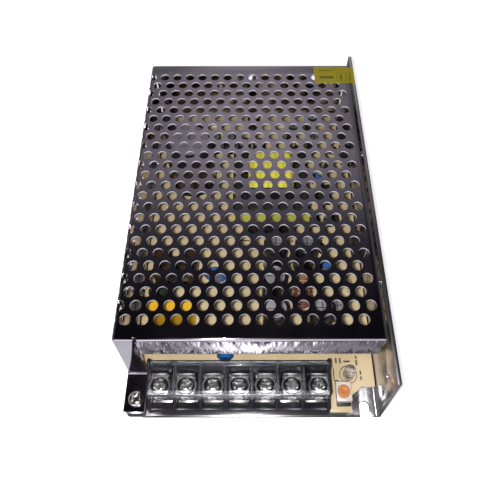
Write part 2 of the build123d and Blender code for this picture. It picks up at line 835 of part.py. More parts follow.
def transformer_core():
    """Two E halves that meet round the centre leg, lying flat."""
    z0 = board_top + core_lift
    x0, x1 = transformer_x - core_width / 2, transformer_x + core_width / 2
    y0, y1 = transformer_y - core_length / 2, transformer_y + core_length / 2
    core = block(x0, x1, y0, y1, z0, z0 + core_stack)
    inner = (core_width - 2 * core_leg - core_centre_leg) / 2
    for start in (x0 + core_leg, x1 - core_leg - inner):
        core -= block(start, start + inner, y0 + core_leg, y1 - core_leg, z0 - 1,
                      z0 + core_stack + 1)
    return core


def bobbin():
    """Two flanges joined by a tube round the centre leg, on two pin rails."""
    z_core = board_top + core_lift
    inner_y0 = transformer_y - core_length / 2 + core_leg + bobbin_side_gap
    inner_y1 = transformer_y + core_length / 2 - core_leg - bobbin_side_gap
    half = winding_width / 2 + bobbin_rim
    z_mid = z_core + core_stack / 2
    tall = winding_height / 2 + bobbin_rim
    tube = core_centre_leg / 2 + bobbin_tube
    shell = block(transformer_x - tube, transformer_x + tube, inner_y0, inner_y1,
                  z_core - bobbin_tube, z_core + core_stack + bobbin_tube)
    for y in (inner_y0, inner_y1 - bobbin_flange):
        shell += block(transformer_x - half, transformer_x + half, y, y + bobbin_flange,
                       z_mid - tall, z_mid + tall)
    gap = bobbin_side_gap
    shell -= block(transformer_x - core_centre_leg / 2 - gap, transformer_x + core_centre_leg / 2 + gap,
                   inner_y0 - 1, inner_y1 + 1, z_core - gap, z_core + core_stack + gap)
    for y0, y1 in ((transformer_y - core_length / 2, inner_y0 + bobbin_flange),
                   (inner_y1 - bobbin_flange, transformer_y + core_length / 2)):
        shell += block(transformer_x - half, transformer_x + half, y0, y1, board_top,
                       z_core - gap)
    return shell


def winding():
    """Taped coil between the flanges of the bobbin."""
    z_mid = board_top + core_lift + core_stack / 2
    y0 = transformer_y - core_length / 2 + core_leg + bobbin_side_gap + bobbin_flange
    y1 = transformer_y + core_length / 2 - core_leg - bobbin_side_gap - bobbin_flange
    coil = block(transformer_x - winding_width / 2, transformer_x + winding_width / 2, y0, y1,
                 z_mid - winding_height / 2, z_mid + winding_height / 2)
    coil = fillet(coil.edges().filter_by(Axis.Y), winding_corner)
    half_x = core_centre_leg / 2 + bobbin_tube
    half_z = core_stack / 2 + bobbin_tube
    return coil - block(transformer_x - half_x, transformer_x + half_x, y0 - 1, y1 + 1,
                        z_mid - half_z, z_mid + half_z)


def core_band():
    """Tape round the outside of the core."""
    z_mid = board_top + core_lift + core_stack / 2
    half_x, half_y = core_width / 2, core_length / 2
    t = core_tape
    ring = block(transformer_x - half_x - t, transformer_x + half_x + t, transformer_y - half_y - t,
                 transformer_y + half_y + t, z_mid - core_tape_height / 2,
                 z_mid + core_tape_height / 2)
    return ring - block(transformer_x - half_x, transformer_x + half_x, transformer_y - half_y,
                        transformer_y + half_y, 0, case_height)


def pin_places():
    """Where the two rows of transformer pins stand."""
    reach = core_length / 2 - pin_inset
    return [(transformer_x + (i - (pins_in_row - 1) / 2) * pin_pitch, transformer_y + side * reach)
            for side in (-1, 1) for i in range(pins_in_row)]


def transformer_pins():
    """Pins from the rails of the bobbin down through the board."""
    return [square_pin(x, y, board_underside - pin_reach, board_top, pin_side) for x, y in pin_places()]


def film_capacitor():
    body = block(film_x - film_width / 2, film_x + film_width / 2, film_y - film_depth / 2,
                 film_y + film_depth / 2, board_top, board_top + film_height)
    body = chamfer(body.edges().filter_by(Axis.Z) + body.edges().group_by(Axis.Z)[-1], film_edge)
    reach = film_width / 2 - film_foot
    between_feet = block(film_x - reach, film_x + reach, film_y - film_depth, film_y + film_depth,
                         board_top - 1, board_top + film_foot_rise)
    return body - between_feet


def mains_choke():
    """Frame, rectangular core and the two coils on its upright limbs."""
    x0, x1 = choke_x - choke_width / 2, choke_x + choke_width / 2
    y0, y1 = choke_y - choke_depth / 2, choke_y + choke_depth / 2
    foot_top = board_top + choke_foot
    top = board_top + choke_height
    side = choke_coil_side
    core = block(x0 + side, x1 - side, choke_y - choke_leg / 2, choke_y + choke_leg / 2, foot_top, top)
    core -= block(x0 + side + choke_leg, x1 - side - choke_leg, y0, y1, foot_top + choke_leg,
                  top - choke_leg)
    coils = []
    for start, leg_start in ((x0, x0 + side), (x1 - 2 * side - choke_leg, x1 - side - choke_leg)):
        coil = block(start, start + 2 * side + choke_leg, y0, y1, foot_top + choke_leg + screw_gap,
                     top - choke_leg - screw_gap)
        coil = fillet(coil.edges().filter_by(Axis.Z), choke_coil_corner)
        coils.append(coil - block(leg_start - screw_gap, leg_start + choke_leg + screw_gap,
                                  choke_y - choke_leg / 2 - screw_gap,
                                  choke_y + choke_leg / 2 + screw_gap, foot_top, top))
    frame = block(x0, x1, y0, y1, board_top, foot_top)
    return frame, core, coils


def output_inductor():
    """Wound ring that stands on the board."""
    r = inductor_diameter / 2
    ring = Rot(0, 90, 0) * (Cylinder(r, inductor_width) - Cylinder(inductor_bore / 2, 2 * inductor_width))
    ring = chamfer(ring.edges().filter_by(GeomType.CIRCLE), inductor_width * inductor_edge_share)
    return Pos(inductor_x, inductor_y, board_top + r) * ring


def disc_part(x, y, diameter, thickness):
    """Dipped disc that stands on edge across the board, with two short legs."""
    disc = Rot(90, 0, 0) * Cylinder(diameter / 2, thickness)
    disc = chamfer(disc.edges().filter_by(GeomType.CIRCLE), thickness * disc_edge_share)
    middle = board_top + lead_reach + diameter / 2
    body = Pos(x, y, middle) * disc
    for side in (-1, 1):
        body += square_pin(x + side * diameter * disc_leg_share, y, board_top, middle, lead_side)
    return body


def bridge():
    """Flat bridge rectifier on edge, with four legs in a row."""
    z0 = board_top + lead_reach
    body = block(bridge_x - bridge_thickness / 2, bridge_x + bridge_thickness / 2,
                 bridge_y - bridge_length / 2, bridge_y + bridge_length / 2, z0, z0 + bridge_height)
    corner = edges_at(body, Axis.X, y=bridge_y + bridge_length / 2, z=z0 + bridge_height)
    body = chamfer(corner, bridge_corner)
    for i in range(4):
        body += square_pin(bridge_x, bridge_y + (i - 1.5) * bridge_leg_pitch, board_top, z0, bridge_leg)
    return body


def fuse():
    """Glass fuse with end caps, and the two spring clips that hold it."""
    z = board_top + fuse_diameter / 2 + fuse_lift
    half = fuse_length / 2
    glass = rod_along_x(fuse_x - half + fuse_cap_length, fuse_x + half - fuse_cap_length, fuse_y, z,
                        fuse_diameter - 2 * fuse_glass_inset)
    caps = []
    clips = []
    for side in (-1, 1):
        ends = sorted((fuse_x + side * half, fuse_x + side * (half - fuse_cap_length)))
        caps.append(rod_along_x(ends[0], ends[1], fuse_y, z, fuse_diameter))
        x0, x1 = ends[0] + fuse_clip_inset, ends[1] - fuse_clip_inset
        clip = rod_along_x(x0, x1, fuse_y, z, fuse_diameter + 2 * fuse_clip_sheet)
        clip += block(x0, x1, fuse_y - fuse_clip_half, fuse_y + fuse_clip_half, board_top, z)
        clip -= rod_along_x(x0 - 1, x1 + 1, fuse_y, z, fuse_diameter)
        clip -= block(x0 - 1, x1 + 1, fuse_y - fuse_clip_mouth, fuse_y + fuse_clip_mouth, z,
                      z + fuse_diameter)
        clips.append(clip)
    return glass, caps, clips


def package_screw_z():
    """Height of the screw that clamps a tabbed package to the wall."""
    return board_top + package_lead + package_height + package_tab_height - package_screw_drop


def tabbed_package(y):
    """Body, metal tab and three legs of a power semiconductor against the wall."""
    back = wall_inner - package_pad
    z0 = board_top + package_lead
    half = package_width / 2
    tab = block(back - package_tab, back, y - half, y + half, z0, z0 + package_height + package_tab_height)
    tab -= rod_along_x(back - package_tab - 1, back + 1, y, package_screw_z(),
                       case_thread + 2 * screw_gap)
    body = block(back - package_tab - package_depth, back - package_tab, y - half, y + half,
                 z0, z0 + package_height)
    body = chamfer(edges_at(body, Axis.Y, x=back - package_tab - package_depth), package_chamfer)
    package = body + tab
    leg_back = back - package_tab - leg_from_tab
    for offset in (-leg_pitch, 0, leg_pitch):
        package += block(leg_back - leg_sheet, leg_back, y + offset - leg_width / 2,
                         y + offset + leg_width / 2, board_top, z0)
    return package


def package_pads():
    """Thin insulating pads between the packages and the wall."""
    back = wall_inner - package_pad
    z0 = board_top + package_lead - package_pad_margin
    half = package_width / 2 + package_pad_margin
    height = package_height + package_tab_height + 2 * package_pad_margin
    return [
        block(back, wall_inner, y - half, y + half, z0, z0 + height)
        - rod_along_x(back - 1, wall_inner + 1, y, package_screw_z(), case_thread + 2 * screw_gap)
        for y in transistor_places + [rectifier_y]
    ]


def package_screws():
    """Screws through tab, pad and wall, flush with the outside of the case."""
    face = wall_inner - package_pad - package_tab
    screw = pan_screw(case_thread, case_head, case_head_height, right - face)
    return [Pos(face, y, package_screw_z()) * Rot(0, -90, 0) * screw
            for y in transistor_places + [rectifier_y]]


def chip(x, y, length, width, height, pins):
    """Dual-row package lying along Y, its pins bent down to the board."""
    z0 = board_top + chip_lift
    body = block(x - width / 2, x + width / 2, y - length / 2, y + length / 2, z0, z0 + height)
    body = chamfer(body.edges().group_by(Axis.Z)[-1], chip_edge)
    body -= Pos(x, y + length / 2, z0 + height) * Cylinder(chip_mark, 2 * chip_edge)
    pin_top = z0 + height * pin_level + pin_sheet
    half = pin_blade / 2
    for i in range(pins):
        pin_y = y + (i - (pins - 1) / 2) * leg_pitch
        for side in (-1, 1):
            shoulder = sorted((x + side * width / 2, x + side * (width / 2 + 2 * pin_sheet)))
            body += block(*shoulder, pin_y - half, pin_y + half, pin_top - pin_sheet, pin_top)
            blade = sorted((x + side * (width / 2 + pin_sheet), x + side * (width / 2 + 2 * pin_sheet)))
            body += block(*blade, pin_y - half, pin_y + half, board_top, pin_top)
    return body


def bent_lead(length, height):
    """Lead along X at that height, bent down to the board at both ends."""
    half = length / 2
    t = lead_side
    outline = Polyline(
        (-half, 0), (-half, height + t / 2), (half, height + t / 2), (half, 0), (half - t, 0),
        (half - t, height - t / 2), (t - half, height - t / 2), (t - half, 0), close=True,
    )
    return extrude(Plane.XZ * make_face(outline), t / 2, both=True)


def axial_part(length, diameter):
    """Round body on the X axis with a lead from each end down to the board."""
    body = rod_along_x(-length / 2, length / 2, 0, diameter / 2, diameter)
    body = chamfer(body.edges().filter_by(GeomType.CIRCLE), axial_edge)
    return body + bent_lead(length + 2 * lead_reach, diameter / 2)


def axial_group(places, length, diameter):
    part = axial_part(length, diameter)
    return [Pos(*on_board(x, y), board_top) * Rot(0, 0, 90 if along_y else 0) * part
            for x, y, along_y in places]


def wire_links():
    """Bare links that bridge tracks in front of the transformer."""
    core_front = transformer_y - core_length / 2
    return [Pos(transformer_x + x, core_front - gap, board_top) * bent_lead(length, link_height)
            for x, gap, length in link_places]


def case_screws():
    """Screws of the cover: at the foot tab, the rear wall and the left wall."""
    length = chassis_sheet + cover_sheet + screw_end
    screw = pan_screw(case_thread, case_head, case_head_height, length)
    x, y = foot_screw_place()
    foot = Pos(x, y, step_height + cover_sheet) * screw
    at_rear = [Pos(x, cover_rear, wrap_screw_z) * Rot(-90, 0, 0) * screw for x in rear_screw_places]
    flush = flat_screw(upstand_inner - left + screw_end)
    at_side = [Pos(left, y, wrap_screw_z) * Rot(0, -90, 0) * flush for y in side_screw_places]
    return foot, at_rear + at_side


def flange_screws():
    """Countersunk screws through the right wall into the cover's side flange."""
    screw = flat_screw(right - cover_right + cover_sheet + screw_end)
    return [Pos(right, y, flange_screw_z) * Rot(0, 90, 0) * screw for y in flange_screw_places]


def write_case():
    save("chassis", chassis())
    save("mesh_cover", mesh_cover())
    foot, wraps = case_screws()
    save("foot_screw", foot)
    save("cover_screws", *wraps)
    save("flange_screws", *flange_screws())


def write_board():
    save("circuit_board", circuit_board())
    save("board_standoffs", *standoffs())
    save("board_screws", *board_screws())
    save("insulation_sheet", insulation())


def write_terminals():
    save("terminal_block_body", terminal_block_body())
    save("terminal_contacts", *terminal_contacts())
    save("terminal_cover", terminal_cover())
    for number, x in enumerate(pole_xs, start=1):
        save(f"terminal_screw_{number}", terminal_screw(x))
        save(f"clamp_plate_{number}", clamp_plate(x))


def write_controls():
    base, frame, rotor = trimmer()
    save("trimmer_base", base)
    save("trimmer_frame", frame)
    save("trimmer_rotor", rotor)
    save("indicator_lamp", indicator())


def write_input_parts():
    glass, caps, clips = fuse()
    save("fuse_glass", glass)
    save("fuse_caps", *caps)
    save("fuse_clips", *clips)
    save("inrush_thermistor", disc_part(thermistor_x, thermistor_y, thermistor_diameter,
                                        thermistor_thickness))
    save("film_capacitor", film_capacitor())
    frame, core, coils = mains_choke()
    save("mains_choke_frame", frame)
    save("mains_choke_core", core)
    save("mains_choke_coils", *coils)
    discs = [disc_part(*on_board(x, y), diameter, disc_thickness) for x, y, diameter in disc_places]
    discs.append(disc_part(front_disc_x, block_rear + front_disc_from_block, front_disc_diameter,
                           disc_thickness))
    save("disc_capacitors", *discs)
    save("bridge_rectifier", bridge())
    save("reservoir_capacitor", electrolytic(reservoir_x, reservoir_y, reservoir_diameter,
                                             reservoir_height))


def write_conversion_parts():
    save("transformer_core", transformer_core())
    save("transformer_core_tape", core_band())
    save("transformer_bobbin", bobbin())
    save("transformer_winding", winding())
    save("transformer_pins", *transformer_pins())
    save("switching_transistors", *[tabbed_package(y) for y in transistor_places])
    save("output_rectifier", tabbed_package(rectifier_y))
    save("package_pads", *package_pads())
    save("package_screws", *package_screws())
    save("output_inductor", output_inductor())
    save("output_capacitors", *[
        electrolytic(*on_board(*place), output_cap_diameter, output_cap_height)
        for place in output_cap_places])
    save("control_chip", chip(*on_board(*chip_place), chip_length, chip_width, chip_height, 4))
    coupler_x, coupler_y = on_board(*coupler_place)
    save("optocouplers", *[
        chip(coupler_x + side * coupler_spacing / 2, coupler_y, coupler_length, chip_width, chip_height, 2)
        for side in (-1, 1)])
    save("small_capacitors", *[
        electrolytic(*on_board(*place), small_cap_diameter, small_cap_height)
        for place in small_cap_places])
    save("resistors", *axial_group(resistor_places, resistor_length, resistor_diameter))
    save("diodes", *axial_group(diode_places, diode_length, diode_diameter))
    save("wire_links", *wire_links())


write_case()
write_board()
write_terminals()
write_controls()
write_input_parts()
write_conversion_parts()
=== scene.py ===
import bpy
from math import cos, pi, radians, sin, sqrt
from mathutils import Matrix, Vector


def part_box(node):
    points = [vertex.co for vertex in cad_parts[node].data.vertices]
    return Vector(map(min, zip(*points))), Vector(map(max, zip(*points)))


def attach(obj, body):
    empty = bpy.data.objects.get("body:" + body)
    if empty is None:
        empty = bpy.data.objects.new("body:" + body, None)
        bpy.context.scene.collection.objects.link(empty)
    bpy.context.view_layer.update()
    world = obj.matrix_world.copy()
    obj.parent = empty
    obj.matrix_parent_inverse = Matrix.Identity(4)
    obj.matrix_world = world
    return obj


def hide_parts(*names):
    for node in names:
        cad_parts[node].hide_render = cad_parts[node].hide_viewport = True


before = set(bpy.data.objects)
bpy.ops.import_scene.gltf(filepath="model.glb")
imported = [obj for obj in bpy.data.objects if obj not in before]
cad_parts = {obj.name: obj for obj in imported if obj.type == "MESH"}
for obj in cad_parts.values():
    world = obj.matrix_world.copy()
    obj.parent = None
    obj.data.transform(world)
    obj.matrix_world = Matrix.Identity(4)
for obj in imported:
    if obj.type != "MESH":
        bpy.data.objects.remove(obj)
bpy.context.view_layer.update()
mm = 0.001
print("frame loaded:", len(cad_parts), "nodes")


# camera, floor and light, places in millimetres

photoCamera = {
    "place": (-0.40, -134.22, 238.90),
    "tiltDegrees": 38.33,
    "turnDegrees": -0.08,
    "focalPixels": 577.8,
    "framePixels": 500,
    "centrePixel": (252.4, 145.7),
    "sensorWidth": 36,
    "clipStart": 10,
}

studio = {
    "floorSize": 6.0,
    "floorDrop": 0.1,
    "floorColour": (0.86, 0.86, 0.87, 1),
    "floorGlow": 0.72,
    "mirroredFloor": 0.5,
    "mirroredColour": (0.98, 0.96, 1.0, 1),
    # pool, footShade, footDarkness and frontFade: painted light and painted shadow on the floor as metal sees
    # it in reflections
    "pool": {"place": (-2, -108), "reach": (17, 16), "glow": 2.8},
    "besideLeft": -49.2, "beside": 0.9,
    "nearLamp": {"place": (-9.4, -134.5, 239.5), "aim": (0, 0, 20), "size": 8, "watts": 0.68},
    "footFront": -79.5, "footShade": 9, "footDarkness": 0.75, "frontFade": 45,
    "sides": [(0.07, 0.13, 0.5), (0.3, 0.3, 0.35)],
    "frontEdge": -0.7, "frontGlow": 1.5,
}

# colour of the studio wall by the sine of the elevation
skySteps = [
    (0.0, (1.30, 1.29, 1.33, 1)),
    (0.22, (0.95, 0.94, 0.98, 1)),
    (0.40, (0.50, 0.49, 0.52, 1)),
    (0.66, (0.30, 0.275, 0.31, 1)),
    (0.694, (0.33, 0.30, 0.34, 1)),
    (0.700, (0.42, 0.385, 0.43, 1)),
    (0.712, (0.34, 0.31, 0.35, 1)),
    (0.74, (0.41, 0.37, 0.425, 1)),
    (0.79, (0.41, 0.37, 0.425, 1)),
    (0.82, (0.27, 0.245, 0.285, 1)),
    (0.855, (0.075, 0.068, 0.085, 1)),
    (0.90, (0.014, 0.013, 0.018, 1)),
    (1.0, (0.007, 0.006, 0.009, 1)),
]


def inMetres(place):
    return [v * mm for v in place]


def addToScene(name, data):
    thing = bpy.data.objects.new(name, data)
    bpy.context.scene.collection.objects.link(thing)
    return thing


def addCamera():
    spec = photoCamera
    lens = bpy.data.cameras.new("photoView")
    lens.sensor_fit = "HORIZONTAL"
    lens.sensor_width = spec["sensorWidth"]
    lens.lens = spec["focalPixels"] / spec["framePixels"] * spec["sensorWidth"]
    half = spec["framePixels"] / 2
    lens.shift_x = (half - spec["centrePixel"][0]) / spec["framePixels"]
    lens.shift_y = (spec["centrePixel"][1] - half) / spec["framePixels"]
    lens.clip_start = spec["clipStart"] * mm
    view = addToScene("photoView", lens)
    view.location = inMetres(spec["place"])
    view.rotation_euler = (radians(spec["tiltDegrees"]), 0, radians(spec["turnDegrees"]))
    bpy.context.scene.camera = view


def addLamp(name, spec):
    lamp = bpy.data.lights.new(name, "AREA")
    lamp.shape = "DISK"
    lamp.size = spec["size"] * mm
    lamp.energy = spec["watts"]
    holder = addToScene(name, lamp)
    holder.location = inMetres(spec["place"])
    toObject = Vector(inMetres(spec["aim"])) - holder.location
    holder.rotation_euler = toObject.to_track_quat("-Z", "Y").to_euler()


def mathNode(tree, operation, first, second=None):
    node = tree.nodes.new("ShaderNodeMath")
    node.operation = operation
    for slotIndex, value in enumerate((first, second)):
        if value is None:
            continue
        if isinstance(value, (int, float)):
            node.inputs[slotIndex].default_value = value
        else:
            tree.links.new(value, node.inputs[slotIndex])
    return node.outputs[0]


def times(tree, first, second):
    return mathNode(tree, "MULTIPLY", first, second)


def plus(tree, first, second):
    return mathNode(tree, "ADD", first, second)


def minus(tree, first, second):
    return mathNode(tree, "SUBTRACT", first, second)


def bellCurve(tree, value, reach):
    # 1 where the value is 0, falling away over the reach
    share = mathNode(tree, "DIVIDE", value, reach)
    return mathNode(tree, "EXPONENT", times(tree, times(tree, share, share), -1.0))


def splitCoordinates(tree, kind="Object"):
    place = tree.nodes.new("ShaderNodeTexCoord")
    split = tree.nodes.new("ShaderNodeSeparateXYZ")
    tree.links.new(place.outputs[kind], split.inputs[0])
    return split.outputs


def mirroredFloor(tree):
    # how bright metal sees the floor in reflections: pale, with a painted shadow at the case's foot and a
    # painted pool of light in front
    at = splitCoordinates(tree)
    pool = studio["pool"]
    bells = [bellCurve(tree, minus(tree, at[axis], centre * mm), reach * mm)
             for axis, centre, reach in zip("XY", pool["place"], pool["reach"])]
    poolGlow = times(tree, times(tree, *bells), pool["glow"])
    ahead = mathNode(tree, "MAXIMUM", minus(tree, studio["footFront"] * mm, at["Y"]), 0.0)
    shade = times(tree, bellCurve(tree, ahead, studio["footShade"] * mm), studio["footDarkness"])
    evenly = times(tree, bellCurve(tree, ahead, studio["frontFade"] * mm), minus(tree, 1.0, shade))
    evenly = times(tree, evenly, studio["mirroredFloor"])
    beside = mathNode(tree, "LESS_THAN", at["X"], studio["besideLeft"] * mm)
    evenly = mathNode(tree, "MAXIMUM", evenly, times(tree, beside, studio["beside"]))
    return plus(tree, poolGlow, evenly)


def addFloor():
    bpy.ops.mesh.primitive_plane_add(size=studio["floorSize"], location=(0, 0, -studio["floorDrop"] * mm))
    floor = bpy.context.object
    floor.name = "floor"
    mat = bpy.data.materials.new("paleFloor")
    mat.use_nodes = True
    tree = mat.node_tree
    nodes, links = tree.nodes, tree.links
    nodes.clear()
    rays = nodes.new("ShaderNodeLightPath").outputs
    seen = mathNode(tree, "MAXIMUM", rays["Is Camera Ray"], rays["Is Transmission Ray"])
    glow = nodes.new("ShaderNodeEmission")
    links.new(times(tree, seen, studio["floorGlow"]), glow.inputs["Strength"])
    matt = nodes.new("ShaderNodeBsdfDiffuse")
    matt.inputs["Color"].default_value = studio["floorColour"]
    both = nodes.new("ShaderNodeAddShader")
    links.new(matt.outputs[0], both.inputs[0])
    links.new(glow.outputs[0], both.inputs[1])
    mirrored = nodes.new("ShaderNodeEmission")
    mirrored.inputs["Color"].default_value = studio["mirroredColour"]
    links.new(mirroredFloor(tree), mirrored.inputs["Strength"])
    either = nodes.new("ShaderNodeMixShader")
    links.new(rays["Is Glossy Ray"], either.inputs["Fac"])
    links.new(both.outputs[0], either.inputs[1])
    links.new(mirrored.outputs[0], either.inputs[2])
    out = nodes.new("ShaderNodeOutputMaterial")
    links.new(either.outputs[0], out.inputs["Surface"])
    floor.data.materials.append(mat)


def addSky():
    # a pale studio wall all round that darkens towards the ceiling and the sides
    world = bpy.data.worlds.new("studio")
    bpy.context.scene.world = world
    world.use_nodes = True
    tree = world.node_tree
    at = splitCoordinates(tree, "Generated")
    ramp = tree.nodes.new("ShaderNodeValToRGB")
    tree.links.new(at["Z"], ramp.inputs["Fac"])
    steps = ramp.color_ramp.elements
    while len(steps) < len(skySteps):
        steps.new(0.5)
    for step, (place, colour) in zip(steps, skySteps):
        step.position = place
        step.color = colour
    across = mathNode(tree, "ABSOLUTE", at["X"])
    ahead = mathNode(tree, "LESS_THAN", at["Y"], studio["frontEdge"])
    strength = plus(tree, times(tree, ahead, studio["frontGlow"]), 1.0)
    for begin, reach, dark in studio["sides"]:
        share = mathNode(tree, "DIVIDE", minus(tree, across, begin), reach)
        share = mathNode(tree, "MAXIMUM", mathNode(tree, "MINIMUM", share, 1.0), 0.0)
        strength = minus(tree, strength, times(tree, share, dark))
    background = tree.nodes["Background"]
    tree.links.new(strength, background.inputs["Strength"])
    tree.links.new(ramp.outputs["Color"], background.inputs["Color"])


addCamera()
addFloor()
addSky()
addLamp("nearLamp", studio["nearLamp"])
bpy.context.scene.view_settings.view_transform = "Standard"
print("studio set")


# modelling helpers

def objectMode():
    if bpy.context.object and bpy.context.object.mode != "OBJECT":
        bpy.ops.object.mode_set(mode="OBJECT")


def deselectAll():
    objectMode()
    bpy.ops.object.select_all(action="DESELECT")


def makeActive(piece):
    deselectAll()
    piece.select_set(True)
    bpy.context.view_layer.objects.active = piece


def editAll(piece):
    makeActive(piece)
    bpy.ops.object.mode_set(mode="EDIT")
    bpy.ops.mesh.select_all(action="SELECT")


def editWhere(piece, kind, test):
    # edit mode with only the edges or faces selected that pass the test
    editAll(piece)
    bpy.ops.mesh.select_mode(type=kind)
    bpy.ops.mesh.select_all(action="DESELECT")
    objectMode()
    for element in piece.data.edges if kind == "EDGE" else piece.data.polygons:
        element.select = test(element)
    bpy.ops.object.mode_set(mode="EDIT")


def settle(piece):
    makeActive(piece)
    bpy.ops.object.transform_apply(location=True, rotation=True, scale=True)


def addBlock(name, low, high):
    deselectAll()
    bpy.ops.mesh.primitive_cube_add(size=1, location=[(a + b) / 2 * mm for a, b in zip(low, high)])
    piece = bpy.context.object
    piece.name = name
    piece.scale = [(b - a) * mm for a, b in zip(low, high)]
    settle(piece)
    return piece


def addRod(name, centre, radius, length, sides=24, along="Z"):
    deselectAll()
    turns = {"X": (0, pi / 2, 0), "Y": (pi / 2, 0, 0), "Z": (0, 0, 0)}
    bpy.ops.mesh.primitive_cylinder_add(vertices=sides, radius=radius * mm, depth=length * mm,
                                        location=inMetres(centre), rotation=turns[along])
    piece = bpy.context.object
    piece.name = name
    settle(piece)
    return piece


def stackRings(name, centre, rings, sides=40):
    # a lathed form: a filled circle pulled up ring by ring, each (height, radius)
    deselectAll()
    x, y, z = centre
    height, radius = rings[0]
    bpy.ops.mesh.primitive_circle_add(vertices=sides, radius=radius * mm, fill_type="NGON",
                                      location=inMetres((x, y, z + height)))
    piece = bpy.context.object
    piece.name = name
    settle(piece)
    editAll(piece)
    for nextHeight, nextRadius in rings[1:]:
        rise = (nextHeight - height) * mm
        bpy.ops.mesh.extrude_region_move(TRANSFORM_OT_translate={"value": (0, 0, rise)})
        share = nextRadius / radius
        if abs(share - 1) > 1e-6:
            bpy.ops.transform.resize(value=(share, share, 1),
                                     center_override=inMetres((x, y, z + nextHeight)))
        height, radius = nextHeight, nextRadius
    bpy.ops.mesh.select_all(action="SELECT")
    bpy.ops.mesh.remove_doubles(threshold=1e-7)
    bpy.ops.mesh.normals_make_consistent(inside=False)
    objectMode()
    return piece


def applyModifier(piece, kind, **settings):
    makeActive(piece)
    modifier = piece.modifiers.new(kind.title(), kind)
    for key, value in settings.items():
        setattr(modifier, key, value)
    bpy.ops.object.modifier_apply(modifier=modifier.name)


def roundEdges(piece, width, segments=2, angle=40):
    applyModifier(piece, "BEVEL", width=width * mm, segments=segments, limit_method="ANGLE",
                  angle_limit=radians(angle), use_clamp_overlap=True)


def combine(piece, operation, other):
    applyModifier(piece, "BOOLEAN", operation=operation, solver="EXACT", object=other)
    bpy.data.objects.remove(other)


def cutAway(piece, cutter):
    combine(piece, "DIFFERENCE", cutter)


def repeated(piece, count, step):
    applyModifier(piece, "ARRAY", count=count, use_relative_offset=False, use_constant_offset=True,
                  constant_offset_displace=inMetres(step))


def joinUp(name, parts):
    deselectAll()
    for part in parts:
        part.select_set(True)
    bpy.context.view_layer.objects.active = parts[0]
    bpy.ops.object.join()
    piece = bpy.context.object
    piece.name = name
    return piece


def smooth(piece, angle=35):
    makeActive(piece)
    bpy.ops.object.shade_smooth_by_angle(angle=radians(angle))


def finishPiece(piece, body, slotName, material, *nodes):
    piece.data.materials.clear()
    piece.data.materials.append(material)
    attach(piece, body)
    if nodes:
        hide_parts(*nodes)


def boxOf(node):
    low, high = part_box(node)
    return [v / mm for v in low], [v / mm for v in high]


def middleOf(node):
    low, high = boxOf(node)
    return [(a + b) / 2 for a, b in zip(low, high)]


def islands(node):
    # low and high corners, in millimetres, of the box round each loose part of a node's mesh
    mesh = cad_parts[node].data
    parents = {}

    def root(key):
        while parents[key] != key:
            parents[key] = parents[parents[key]]
            key = parents[key]
        return key

    keys = [tuple(round(c, 6) for c in v.co) for v in mesh.vertices]
    for key in keys:
        parents.setdefault(key, key)
    for face in mesh.polygons:
        first = root(keys[face.vertices[0]])
        for index in face.vertices[1:]:
            parents[root(keys[index])] = first
    boxes = {}
    for key in parents:
        top = root(key)
        low, high = boxes.get(top, (key, key))
        boxes[top] = (tuple(map(min, low, key)), tuple(map(max, high, key)))
    return [([v / mm for v in low], [v / mm for v in high]) for low, high in sorted(boxes.values())]


# shader groups

rolling = {
    "lineStretch": 0.02, "lineScale": 2600.0, "lineHeight": 0.03,
    "smudgeScale": 42.0, "waveScale": 26.0,
}


def newGroup(name, inputs, outputs):
    group = bpy.data.node_groups.new(name, "ShaderNodeTree")
    for label, value in inputs:
        socket = group.interface.new_socket(label, in_out="INPUT", socket_type="NodeSocketFloat")
        socket.default_value = value
    for label in outputs:
        group.interface.new_socket(label, in_out="OUTPUT", socket_type="NodeSocketFloat")
    start = group.nodes.new("NodeGroupInput")
    end = group.nodes.new("NodeGroupOutput")
    return group, start.outputs, end.inputs


def stretchedPlace(tree, scaleX=1, scaleY=1, scaleZ=1):
    place = tree.nodes.new("ShaderNodeTexCoord")
    stretch = tree.nodes.new("ShaderNodeMapping")
    stretch.inputs["Scale"].default_value = (scaleX, scaleY, scaleZ)
    tree.links.new(place.outputs["Object"], stretch.inputs["Vector"])
    return stretch.outputs["Vector"]


def noiseNode(tree, place, scale, detail=3.0, roughness=0.5):
    noise = tree.nodes.new("ShaderNodeTexNoise")
    noise.inputs["Detail"].default_value = detail
    noise.inputs["Roughness"].default_value = roughness
    if isinstance(scale, (int, float)):
        noise.inputs["Scale"].default_value = scale
    else:
        tree.links.new(scale, noise.inputs["Scale"])
    tree.links.new(place, noise.inputs["Vector"])
    return noise.outputs["Fac"]


def makeRolledSheet():
    # long faint rolling lines, smudges and a slow waviness of cold-rolled plate
    group, given, wanted = newGroup("rolledSheet", [("Lines", 1.0), ("Smudge", 1.0)],
                                    ["Tone", "Roughness", "Height"])
    lines = noiseNode(group, stretchedPlace(group, 1, rolling["lineStretch"]), rolling["lineScale"], 2.0)
    smudge = noiseNode(group, stretchedPlace(group), rolling["smudgeScale"], 5.0, 0.6)
    wave = noiseNode(group, stretchedPlace(group), rolling["waveScale"], 1.0)
    lineTone = times(group, minus(group, lines, 0.5), given["Lines"])
    smudgeTone = times(group, minus(group, smudge, 0.5), given["Smudge"])
    group.links.new(plus(group, lineTone, smudgeTone), wanted["Tone"])
    group.links.new(smudgeTone, wanted["Roughness"])
    height = plus(group, times(group, lineTone, rolling["lineHeight"]), wave)
    group.links.new(height, wanted["Height"])
    return group


def makeMottle():
    # uneven tone and fine pebbling of moulded, dipped or printed surfaces
    group, given, wanted = newGroup("mottle", [("Scale", 300.0), ("Grain", 2500.0)], ["Tone", "Height"])
    place = stretchedPlace(group)
    tone = noiseNode(group, place, given["Scale"], 4.0)
    grain = noiseNode(group, place, given["Grain"], 2.0)
    group.links.new(tone, wanted["Tone"])
    group.links.new(plus(group, times(group, tone, 0.3), grain), wanted["Height"])
    return group


